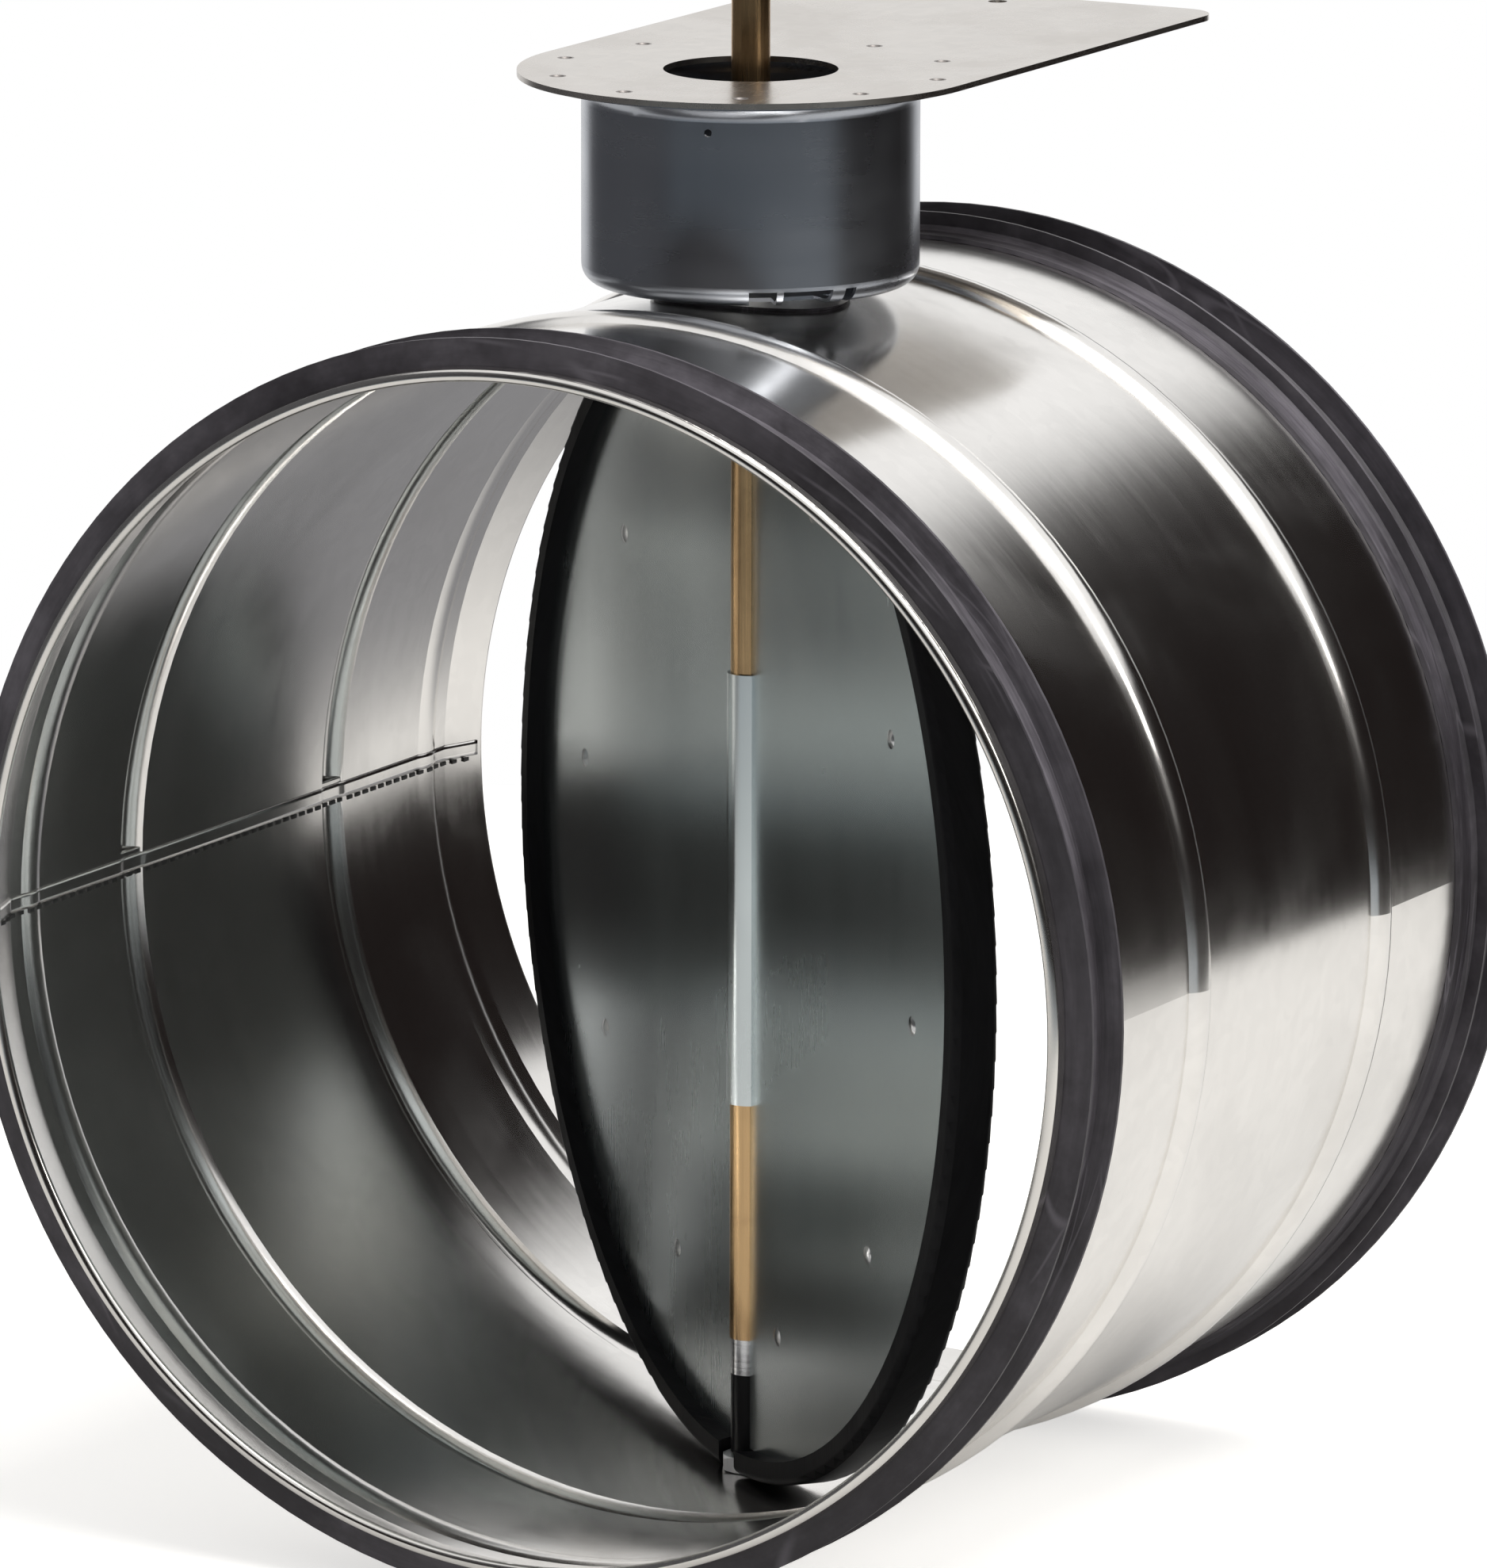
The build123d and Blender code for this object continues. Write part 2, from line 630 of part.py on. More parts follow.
with BuildPart() as collar:
    with BuildSketch(Plane.XZ):
        with BuildLine():
            outside = FilletPolyline(
                (hub_r + end_gap, saddle_top),
                (collar_r, saddle_top),
                (collar_r, collar_top - collar_sheet),
                (collar_flange_r, collar_top - collar_sheet),
                radius=[collar_bottom_round, collar_flare],
            )
            inside = FilletPolyline(
                (collar_flange_r, collar_top),
                (collar_r - collar_sheet, collar_top),
                (collar_r - collar_sheet, saddle_top + collar_sheet),
                (hub_r + end_gap, saddle_top + collar_sheet),
                radius=[collar_flare + collar_sheet, collar_bottom_round - collar_sheet],
            )
            Line(outside @ 1, inside @ 0)
            Line(inside @ 1, outside @ 0)
        make_face()
    revolve(axis=Axis.Z)
    # Wiring notch in the bottom corner, with two tabs left standing in it
    for start, end in notch_sectors:
        with BuildSketch(Plane.XY.offset(saddle_top)):
            with BuildLine():
                Polyline(
                    polar(notch_inner_r, start),
                    polar(1.2 * collar_r, start),
                    polar(1.2 * collar_r, end),
                    polar(notch_inner_r, end),
                    close=True,
                )
            make_face()
        extrude(amount=notch_height, mode=Mode.SUBTRACT)
    vent_plane = Plane(
        origin=(0, 0, collar_top - vent_drop),
        x_dir=(0, 0, 1),
        z_dir=(cos(radians(vent_angle)), sin(radians(vent_angle)), 0),
    )
    with BuildSketch(vent_plane):
        Circle(vent_r)
    extrude(amount=collar_r + vent_r, mode=Mode.SUBTRACT)
    with BuildSketch(Plane.XY.offset(saddle_top)):
        with Locations(*rivet_points):
            Circle(rivet_r + seat_gap)
    extrude(amount=collar_sheet, mode=Mode.SUBTRACT)
    with BuildSketch(Plane.XY.offset(collar_top - collar_sheet)):
        with PolarLocations(shelf_clinch_circle_r, clinch_count, start_angle=shelf_clinch_start):
            Circle(shelf_clinch_r + seat_gap)
    extrude(amount=collar_sheet, mode=Mode.SUBTRACT)
save(collar.part, "collar")

# --- Motor shelf and the clinch points that hold it on the collar's rim --------------------------------------

with BuildPart() as shelf_plate:
    with BuildSketch(Plane.XY.offset(collar_top)) as shelf_outline:
        Circle(shelf_width / 2)
        with Locations((0, shelf_reach / 2)):
            Rectangle(shelf_width, shelf_reach)
        fillet(shelf_outline.vertices().group_by(Axis.Y)[-1], shelf_corner)
        Circle(shelf_hole_r, mode=Mode.SUBTRACT)
        with PolarLocations(shelf_clinch_circle_r, clinch_count, start_angle=shelf_clinch_start):
            Circle(shelf_clinch_r + seat_gap, mode=Mode.SUBTRACT)
        with Locations((0, torque_hole_y)):
            Circle(torque_hole_r, mode=Mode.SUBTRACT)
    extrude(amount=shelf_sheet)
save(shelf_plate.part, "shelf_plate")

with BuildPart() as shelf_clinches:
    for index in range(clinch_count):
        x, y = polar(shelf_clinch_circle_r, shelf_clinch_start + index * 360 / clinch_count)
        low_face = collar_top - collar_sheet - seat_gap
        button_r = shelf_clinch_r + clinch_head
        with BuildSketch(Plane(origin=(x, y, 0), x_dir=(1, 0, 0), z_dir=(0, -1, 0))):
            with BuildLine():
                Line((0, shelf_top - shelf_dimple), (0, low_face - clinch_head))
                TangentArc((0, low_face - clinch_head), (button_r, low_face), tangent=(1, 0))
                Polyline(
                    (button_r, low_face),
                    (shelf_clinch_r, low_face),
                    (shelf_clinch_r, shelf_top),
                    (shelf_dimple_r, shelf_top),
                )
                TangentArc((0, shelf_top - shelf_dimple), (shelf_dimple_r, shelf_top), tangent=(1, 0))
            make_face()
        revolve(axis=Axis((x, y, 0), (0, 0, 1)))
save(shelf_clinches.part, "shelf_clinches")
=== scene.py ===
import math

import bmesh
import bpy
from bpy.props import FloatProperty, FloatVectorProperty, IntProperty, PointerProperty
from mathutils import Matrix, Vector
from mathutils.bvhtree import BVHTree


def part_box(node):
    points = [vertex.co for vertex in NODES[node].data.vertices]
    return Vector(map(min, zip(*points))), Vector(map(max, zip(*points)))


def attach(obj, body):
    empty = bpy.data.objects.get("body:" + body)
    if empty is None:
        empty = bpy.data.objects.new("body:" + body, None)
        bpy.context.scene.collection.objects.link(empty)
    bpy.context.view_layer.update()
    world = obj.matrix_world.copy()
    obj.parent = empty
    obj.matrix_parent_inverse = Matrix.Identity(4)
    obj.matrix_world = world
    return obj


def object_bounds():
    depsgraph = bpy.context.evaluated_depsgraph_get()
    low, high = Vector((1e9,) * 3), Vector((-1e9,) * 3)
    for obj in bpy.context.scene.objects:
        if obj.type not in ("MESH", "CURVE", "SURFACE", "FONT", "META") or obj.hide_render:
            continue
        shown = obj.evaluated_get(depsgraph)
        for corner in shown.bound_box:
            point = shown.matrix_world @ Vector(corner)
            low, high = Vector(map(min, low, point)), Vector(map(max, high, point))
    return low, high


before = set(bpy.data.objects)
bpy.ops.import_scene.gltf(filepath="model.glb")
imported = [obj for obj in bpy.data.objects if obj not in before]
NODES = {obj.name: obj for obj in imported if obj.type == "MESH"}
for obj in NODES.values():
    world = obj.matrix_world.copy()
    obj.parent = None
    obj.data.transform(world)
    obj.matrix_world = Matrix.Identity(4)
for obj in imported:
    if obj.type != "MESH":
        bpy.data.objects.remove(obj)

bl_info = {
    "name": "Round Duct Damper Finisher",
    "version": (1, 0, 0),
    "blender": (4, 5, 0),
    "location": "3D Viewport > Sidebar > Damper",
    "description": "Gives a packed round volume control damper its sheet metal, rubber and studio",
    "category": "Object",
}

CAD_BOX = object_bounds()
CASING_LOW, CASING_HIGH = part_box("duct_casing")
DUCT_HALF = CASING_HIGH.y

POINT_GRAIN = (300.0, 300.0, 300.0)  # the grain's scale on small pressed points

# Lock seam, in metres
SEAM_STEPS = 190
FOLD_STEPS = 4
SEAM_END = 0.003  # from the rim to the end of the seam
RAY_START_X = -0.12  # inside the duct, short of the wall that carries the seam
FOLD_LIFT = 0.00002  # clear of the wall
MARK_END = 0.004  # from the end of the seam to the first mark
MARK_SIZE = (0.0005, 0.0026, 0.0011)
MARK_LIFT = 0.0001  # from the wall to the middle of a mark
MARK_DROP = 0.0007  # from the edge of the fold to the middle of a mark
MARK_BEVEL = 0.00012

# Rim noses: the profile turns a little past half a circle, in degrees
NOSE_TURN = 97.0
NOSE_POINTS = 20
NOSE_SUNK = 2  # how many skins the profile's ends lie in the steel
NOSE_BACK = 6  # how many skins its back lies in the steel
NOSE_SLACK = 0.0001  # metres
NOSE_WELD = 0.000001  # metres

# Studio, in metres
CLOTH_R = 2.4
CLOTH_FOOT = -0.9
CLOTH_FADE = 0.25
CLOTH_STEPS = 40
CLOTH_SIDE_FADE = 14  # degrees
FLOOR_DROP = 0.0005
FLOOR_SEEN = 0.62
FLOOR_REFLECTED = 0.09
# Lift of the grey card that paints the floor's shadow behind the object
SHADOW_CARD_LIFT = 0.0002
LIGHT_TARGET = (0, 0, 0.02)
CAMERA_PLACE = (1.58756, -2.92197, 0.71487)
CAMERA_BACK = (0.46792, -0.86027, 0.20246)
CAMERA_UP = (-0.09828, 0.17701, 0.97929)


# ---- Node helpers -------------------------------------------------------------------------------


def place(tree, kind, values=(), **settings):
    """Adds a node, with its settings and the values of its unlinked inputs."""
    node = tree.nodes.new(kind)
    for name, value in settings.items():
        setattr(node, name, value)
    for key, value in dict(values).items():
        node.inputs[key].default_value = value
    return node


def join(tree, *pairs):
    """Links pairs of an output and an input."""
    for source, target in pairs:
        tree.links.new(source, target)


def math_node(tree, operation, first, second=None, clamp=False):
    """A Math node whose inputs are sockets or numbers; returns its output."""
    node = tree.nodes.new("ShaderNodeMath")
    node.operation = operation
    node.use_clamp = clamp
    for index, value in enumerate((first, second)):
        if value is None:
            continue
        if isinstance(value, (int, float)):
            node.inputs[index].default_value = value
        else:
            tree.links.new(value, node.inputs[index])
    return node.outputs[0]


def mapped(tree, value, low, high, to_low=0.0, to_high=1.0, smooth=True):
    """A Map Range node from low..high to to_low..to_high; returns its output."""
    node = tree.nodes.new("ShaderNodeMapRange")
    node.interpolation_type = "SMOOTHSTEP" if smooth else "LINEAR"
    for index, number in enumerate((low, high, to_low, to_high), start=1):
        node.inputs[index].default_value = number
    tree.links.new(value, node.inputs[0])
    return node.outputs[0]


def blended(tree, factor, first, second, mode="MIX"):
    """A colour Mix node; each argument is a socket or a plain value."""
    node = tree.nodes.new("ShaderNodeMix")
    node.data_type = "RGBA"
    node.blend_type = mode
    for index, value in ((0, factor), (6, first), (7, second)):
        if isinstance(value, bpy.types.NodeSocket):
            tree.links.new(value, node.inputs[index])
        elif index == 0:
            node.inputs[index].default_value = value
        else:
            node.inputs[index].default_value = (*value[:3], 1.0)
    return node.outputs[2]


def new_group(name, inputs, outputs):
    """An empty shader node group; returns its tree, its input node and its output node."""
    tree = bpy.data.node_groups.new(name, "ShaderNodeTree")
    for socket, kind, default in inputs:
        made = tree.interface.new_socket(socket, in_out="INPUT", socket_type=kind)
        if default is not None:
            made.default_value = default
    for socket, kind in outputs:
        tree.interface.new_socket(socket, in_out="OUTPUT", socket_type=kind)
    return tree, tree.nodes.new("NodeGroupInput"), tree.nodes.new("NodeGroupOutput")


def rolled_grain():
    """Fine parallel lines from the rolling mill, across the vector's most stretched axis."""
    name = "Rolled Grain"
    if name in bpy.data.node_groups:
        return bpy.data.node_groups[name]
    tree, start, end = new_group(
        name,
        [("Vector", "NodeSocketVector", None), ("Contrast", "NodeSocketFloat", 1.0)],
        [("Tone", "NodeSocketFloat"), ("Height", "NodeSocketFloat")],
    )
    broad = place(tree, "ShaderNodeTexNoise", {"Scale": 1.0, "Detail": 3.0, "Roughness": 0.6})
    fine = place(tree, "ShaderNodeTexNoise", {"Scale": 4.3, "Detail": 4.0, "Roughness": 0.7})
    join(
        tree,
        (start.outputs["Vector"], broad.inputs["Vector"]),
        (start.outputs["Vector"], fine.inputs["Vector"]),
    )
    mixed = math_node(
        tree,
        "ADD",
        math_node(tree, "MULTIPLY", broad.outputs["Fac"], 0.6),
        math_node(tree, "MULTIPLY", fine.outputs["Fac"], 0.4),
    )
    centred = math_node(tree, "SUBTRACT", mixed, 0.5)
    spread = math_node(tree, "MULTIPLY", centred, start.outputs["Contrast"])
    join(
        tree,
        (math_node(tree, "ADD", spread, 0.5, clamp=True), end.inputs["Tone"]),
        (fine.outputs["Fac"], end.inputs["Height"]),
    )
    return tree


def handling_marks():
    """Smudges, rubbed patches and hair scratches from handling."""
    name = "Handling Marks"
    if name in bpy.data.node_groups:
        return bpy.data.node_groups[name]
    tree, start, end = new_group(
        name,
        [("Vector", "NodeSocketVector", None), ("Size", "NodeSocketFloat", 14.0)],
        [("Smudge", "NodeSocketFloat"), ("Scratch", "NodeSocketFloat")],
    )
    cloud = place(tree, "ShaderNodeTexNoise", {"Detail": 5.0, "Roughness": 0.55, "Distortion": 0.8})
    join(
        tree,
        (start.outputs["Vector"], cloud.inputs["Vector"]),
        (start.outputs["Size"], cloud.inputs["Scale"]),
    )
    lines = []
    for turn, shift in ((0.5, 3.0), (-0.9, 11.0), (1.45, 23.0)):
        direction = {
            "Rotation": (turn, turn * 0.7, turn * 1.3),
            "Location": (shift, shift, 0.0),
            "Scale": (9.0, 260.0, 9.0),
        }
        aim = place(tree, "ShaderNodeMapping", direction)
        hair = place(tree, "ShaderNodeTexNoise", {"Scale": 1.0, "Detail": 1.0})
        patch = place(tree, "ShaderNodeTexNoise", {"Scale": 22.0, "Detail": 1.0})
        join(
            tree,
            (start.outputs["Vector"], aim.inputs["Vector"]),
            (aim.outputs["Vector"], hair.inputs["Vector"]),
            (start.outputs["Vector"], patch.inputs["Vector"]),
        )
        distance = math_node(tree, "ABSOLUTE", math_node(tree, "SUBTRACT", hair.outputs["Fac"], 0.5))
        line = mapped(tree, distance, 0.0, 0.012, 1.0, 0.0)
        present = mapped(tree, patch.outputs["Fac"], 0.56, 0.66)
        lines.append(math_node(tree, "MULTIPLY", line, present))
    scratch = math_node(tree, "MAXIMUM", math_node(tree, "MAXIMUM", lines[0], lines[1]), lines[2])
    join(
        tree,
        (mapped(tree, cloud.outputs["Fac"], 0.42, 0.68), end.inputs["Smudge"]),
        (scratch, end.inputs["Scratch"]),
    )
    return tree


def zinc_spangle():
    """Faint crystals of a galvanised coat, as a tone round 0.5."""
    name = "Zinc Spangle"
    if name in bpy.data.node_groups:
        return bpy.data.node_groups[name]
    tree, start, end = new_group(
        name,
        [("Vector", "NodeSocketVector", None), ("Crystal", "NodeSocketFloat", 260.0)],
        [("Tone", "NodeSocketFloat")],
    )
    ripple = place(tree, "ShaderNodeTexNoise", {"Scale": 90.0, "Detail": 2.0})
    cells = place(tree, "ShaderNodeTexVoronoi")
    bent = place(tree, "ShaderNodeVectorMath", operation="MULTIPLY_ADD")
    bent.inputs[1].default_value = (0.006, 0.006, 0.006)
    join(
        tree,
        (start.outputs["Vector"], ripple.inputs["Vector"]),
        (ripple.outputs["Color"], bent.inputs[0]),
        (start.outputs["Vector"], bent.inputs[2]),
        (bent.outputs["Vector"], cells.inputs["Vector"]),
        (start.outputs["Crystal"], cells.inputs["Scale"]),
    )
    tone = place(tree, "ShaderNodeSeparateColor")
    join(
        tree,
        (cells.outputs["Color"], tone.inputs["Color"]),
        (tone.outputs["Red"], end.inputs["Tone"]),
    )
    return tree


def settled_dust():
    """Pale dust and talc that clings to rubber, thicker on faces that look up."""
    name = "Settled Dust"
    if name in bpy.data.node_groups:
        return bpy.data.node_groups[name]
    tree, start, end = new_group(
        name,
        [("Vector", "NodeSocketVector", None), ("Grain", "NodeSocketFloat", 60.0)],
        [("Dust", "NodeSocketFloat"), ("Height", "NodeSocketFloat")],
    )
    cloud = place(tree, "ShaderNodeTexNoise", {"Detail": 6.0, "Roughness": 0.7})
    surface = place(tree, "ShaderNodeNewGeometry")
    split = place(tree, "ShaderNodeSeparateXYZ")
    join(
        tree,
        (start.outputs["Vector"], cloud.inputs["Vector"]),
        (start.outputs["Grain"], cloud.inputs["Scale"]),
        (surface.outputs["Normal"], split.inputs["Vector"]),
    )
    facing = mapped(tree, split.outputs["Z"], -0.4, 1.0, 0.35, 1.0)
    settled = math_node(tree, "MULTIPLY", mapped(tree, cloud.outputs["Fac"], 0.38, 0.72), facing)
    join(
        tree,
        (settled, end.inputs["Dust"]),
        (cloud.outputs["Fac"], end.inputs["Height"]),
    )
    return tree


def group_node(tree, group, vector, **values):
    """Places a node group and gives it its vector and its own values."""
    node = tree.nodes.new("ShaderNodeGroup")
    node.node_tree = group
    tree.links.new(vector, node.inputs["Vector"])
    for key, value in values.items():
        node.inputs[key].default_value = value
    return node


def stretched(tree, scale):
    """Object coordinates, scaled for a pattern with a direction."""
    coordinates = place(tree, "ShaderNodeTexCoord")
    mapping = place(tree, "ShaderNodeMapping", {"Scale": scale})
    join(tree, (coordinates.outputs["Object"], mapping.inputs["Vector"]))
    return mapping.outputs["Vector"]


def new_material(name):
    """A material with only its Principled BSDF; returns the material, its tree and that node."""
    material = bpy.data.materials.new(name)
    material.use_nodes = True
    tree = material.node_tree
    return material, tree, tree.nodes["Principled BSDF"]


def bumped(tree, shader, height, strength, distance):
    """Feeds a height to the shader's normal."""
    bump = place(tree, "ShaderNodeBump", {"Strength": strength, "Distance": distance})
    join(tree, (height, bump.inputs["Height"]), (bump.outputs["Normal"], shader.inputs["Normal"]))


def seen_directly(tree):
    """1 for camera, glossy and transmission rays, so that metal shows the same white."""
    path = place(tree, "ShaderNodeLightPath")
    sharp = math_node(tree, "MAXIMUM", path.outputs["Is Camera Ray"], path.outputs["Is Glossy Ray"])
    return math_node(tree, "MAXIMUM", sharp, path.outputs["Is Transmission Ray"])


def scaled(colour, factor):
    """A colour made darker or paler, kept within 1."""
    return tuple(min(1.0, c * factor) for c in colour)


# ---- Finishes -----------------------------------------------------------------------------------


def sheet_steel(
    name,
    colour,
    roughness,
    grain_scale,
    spangle=0.04,
    smudge=0.12,
    lines=0.06,
    scratch=0.12,
    relief=0.04,
    mark_size=14.0,
):
    """Galvanised sheet: rolled lines, faint spangle, smudges and hair scratches."""
    if name in bpy.data.materials:
        return bpy.data.materials[name]
    material, tree, shader = new_material(name)
    shader.inputs["Metallic"].default_value = 1.0
    flat = stretched(tree, (1.0, 1.0, 1.0))
    grain = group_node(tree, rolled_grain(), stretched(tree, grain_scale), Contrast=1.6)
    crystals = group_node(tree, zinc_spangle(), flat, Crystal=240.0)
    marks = group_node(tree, handling_marks(), flat, Size=mark_size)
    dark, pale = scaled(colour, 1.0 - lines), scaled(colour, 1.0 + lines)
    lined = blended(tree, grain.outputs["Tone"], dark, pale)
    tone = mapped(
        tree, crystals.outputs["Tone"], 0.0, 1.0, 1.0 - spangle, 1.0 + spangle, smooth=False
    )
    crystal = place(tree, "ShaderNodeCombineColor")
    join(tree, *[(tone, crystal.inputs[i]) for i in range(3)])
    coated = blended(tree, 1.0, lined, crystal.outputs["Color"], "MULTIPLY")
    smudge_mask = math_node(tree, "MULTIPLY", marks.outputs["Smudge"], smudge)
    smudged = blended(tree, smudge_mask, coated, scaled(colour, 0.45))
    scratch_mask = math_node(tree, "MULTIPLY", marks.outputs["Scratch"], scratch)
    scratched = blended(tree, scratch_mask, smudged, scaled(colour, 1.25))
    grain_rough = mapped(tree, grain.outputs["Tone"], 0.0, 1.0, roughness * 0.9, roughness * 1.1)
    smudge_rough = math_node(tree, "MULTIPLY", marks.outputs["Smudge"], 0.06)
    rough = math_node(tree, "ADD", grain_rough, smudge_rough)
    join(tree, (scratched, shader.inputs["Base Color"]), (rough, shader.inputs["Roughness"]))
    furrow = math_node(tree, "MULTIPLY", marks.outputs["Scratch"], 0.6)
    height = math_node(tree, "SUBTRACT", grain.outputs["Height"], furrow)
    bumped(tree, shader, height, strength=relief, distance=0.00006)
    return material


def rubber(name, colour, dust_colour, dust, roughness, streak_scale, specular=0.35):
    """Moulded rubber with fine extrusion streaks and clinging dust."""
    if name in bpy.data.materials:
        return bpy.data.materials[name]
    material, tree, shader = new_material(name)
    shader.inputs["Specular IOR Level"].default_value = specular
    flat = stretched(tree, (1.0, 1.0, 1.0))
    streaks = group_node(tree, rolled_grain(), stretched(tree, streak_scale), Contrast=2.2)
    film = group_node(tree, settled_dust(), stretched(tree, (1.0, 5.0, 1.0)), Grain=17.0)
    patches = group_node(tree, settled_dust(), stretched(tree, (1.0, 1.6, 1.0)), Grain=8.0)
    marks = group_node(tree, handling_marks(), flat, Size=20.0)
    lined = blended(tree, streaks.outputs["Tone"], scaled(colour, 0.55), scaled(colour, 1.5))
    clinging = math_node(
        tree,
        "ADD",
        math_node(tree, "MULTIPLY", film.outputs["Dust"], 0.6),
        math_node(tree, "MULTIPLY", patches.outputs["Dust"], 0.6),
        clamp=True,
    )
    streaked = mapped(tree, streaks.outputs["Tone"], 0.15, 0.75, 0.35, 1.0)
    film_mask = math_node(tree, "MULTIPLY", clinging, math_node(tree, "MULTIPLY", streaked, dust))
    dusty = blended(tree, film_mask, lined, dust_colour)
    rub_mask = math_node(tree, "MULTIPLY", marks.outputs["Scratch"], 0.3 * dust)
    rubbed = blended(tree, rub_mask, dusty, dust_colour)
    rough = mapped(tree, film.outputs["Dust"], 0.0, 1.0, roughness, roughness + 0.22)
    join(tree, (rubbed, shader.inputs["Base Color"]), (rough, shader.inputs["Roughness"]))
    crust = math_node(tree, "MULTIPLY", film.outputs["Height"], 0.4)
    height = math_node(tree, "ADD", streaks.outputs["Height"], crust)
    bumped(tree, shader, height, strength=0.35, distance=0.00012)
    return material


def turned_metal(name, colour, dark_colour, roughness, grain_scale, smudge=0.35):
    """Drawn or turned bright metal with tool lines and a stained film."""
    if name in bpy.data.materials:
        return bpy.data.materials[name]
    material, tree, shader = new_material(name)
    shader.inputs["Metallic"].default_value = 1.0
    flat = stretched(tree, (1.0, 1.0, 1.0))
    grain = group_node(tree, rolled_grain(), stretched(tree, grain_scale), Contrast=2.4)
    marks = group_node(tree, handling_marks(), flat, Size=40.0)
    lined = blended(tree, grain.outputs["Tone"], scaled(colour, 0.72), scaled(colour, 1.15))
    stain_mask = math_node(tree, "MULTIPLY", marks.outputs["Smudge"], smudge)
    stained = blended(tree, stain_mask, lined, dark_colour)
    rough = mapped(tree, grain.outputs["Tone"], 0.0, 1.0, roughness * 0.8, roughness * 1.25)
    join(tree, (stained, shader.inputs["Base Color"]), (rough, shader.inputs["Roughness"]))
    bumped(tree, shader, grain.outputs["Height"], strength=0.2, distance=0.00004)
    return material


def moulded_plastic(name, colour, roughness):
    """Black moulded plastic with a fine matt grain."""
    if name in bpy.data.materials:
        return bpy.data.materials[name]
    material, tree, shader = new_material(name)
    shader.inputs["Specular IOR Level"].default_value = 0.18
    flat = stretched(tree, (1.0, 1.0, 1.0))
    film = group_node(tree, settled_dust(), flat, Grain=220.0)
    film_mask = math_node(tree, "MULTIPLY", film.outputs["Dust"], 0.25)
    tinted = blended(tree, film_mask, colour, tuple(c * 2.0 + 0.004 for c in colour))
    rough = mapped(tree, film.outputs["Dust"], 0.0, 1.0, roughness, roughness + 0.12)
    join(tree, (tinted, shader.inputs["Base Color"]), (rough, shader.inputs["Roughness"]))
    bumped(tree, shader, film.outputs["Height"], strength=0.25, distance=0.00008)
    return material


def dress(names, material):
    """Gives CAD nodes their material."""
    for name in names:
        mesh = NODES[name].data
        mesh.materials.clear()
        mesh.materials.append(material)


# ---- Mesh helpers -------------------------------------------------------------------------------


def finished(name, bm, material, body):
    """Turns a bmesh into a smooth-shaded piece that rides on a body."""
    mesh = bpy.data.meshes.new(name)
    bm.to_mesh(mesh)
    bm.free()
    mesh.shade_smooth()
    mesh.materials.append(material)
    piece = bpy.data.objects.new(name, mesh)
    bpy.context.scene.collection.objects.link(piece)
    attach(piece, body)
    return piece


def casing_wall():
    """A search tree over the duct casing, for laying things on its wall."""
    bm = bmesh.new()
    bm.from_mesh(NODES["duct_casing"].data)
    tree = BVHTree.FromBMesh(bm)
    bm.free()
    return tree


def wall_x(wall, y):
    """Where the wall that carries the lock seam lies, at a place along the duct."""
    hit = wall.ray_cast(Vector((RAY_START_X, y, 0.0)), Vector((-1.0, 0.0, 0.0)))
    if hit[0] is None:
        raise RuntimeError("the lock seam found no wall to lie on")
    return hit[0].x


# ---- Settings -----------------------------------------------------------------------------------


class DamperSheetSettings(bpy.types.PropertyGroup):
    """Colours and roughness of the sheet metal"""

    duct_colour: FloatVectorProperty(
        name="Duct colour",
        description="Colour of the galvanised duct sheet",
        subtype="COLOR", size=3, min=0.0, max=1.0, default=(0.84, 0.822, 0.797),
    )
    blade_colour: FloatVectorProperty(
        name="Blade colour",
        description="Colour of the two blade discs",
        subtype="COLOR", size=3, min=0.0, max=1.0, default=(0.67, 0.725, 0.735),
    )
    collar_colour: FloatVectorProperty(
        name="Collar colour",
        description="Colour of the drawn collar",
        subtype="COLOR", size=3, min=0.0, max=1.0, default=(0.40, 0.42, 0.46),
    )
    shelf_colour: FloatVectorProperty(
        name="Shelf colour",
        description="Colour of the motor shelf",
        subtype="COLOR", size=3, min=0.0, max=1.0, default=(0.55, 0.515, 0.475),
    )
    duct_roughness: FloatProperty(
        name="Duct roughness",
        description="Roughness of the duct sheet",
        subtype="FACTOR", min=0.0, max=1.0, default=0.16,
    )
    blade_roughness: FloatProperty(
        name="Blade roughness",
        description="Roughness of the blade discs",
        subtype="FACTOR", min=0.0, max=1.0, default=0.22,
    )


class DamperSealSettings(bpy.types.PropertyGroup):
    """Colours of the rubber pieces"""

    gasket_colour: FloatVectorProperty(
        name="Gasket colour",
        description="Colour of the spigot gaskets",
        subtype="COLOR", size=3, min=0.0, max=1.0, default=(0.024, 0.021, 0.025),
    )
    dust_colour: FloatVectorProperty(
        name="Dust colour",
        description="Colour of the dust on the gaskets",
        subtype="COLOR", size=3, min=0.0, max=1.0, default=(0.185, 0.172, 0.197),
    )
    blade_seal_colour: FloatVectorProperty(
        name="Blade seal colour",
        description="Colour of the seal round the blade",
        subtype="COLOR", size=3, min=0.0, max=1.0, default=(0.006, 0.006, 0.007),
    )


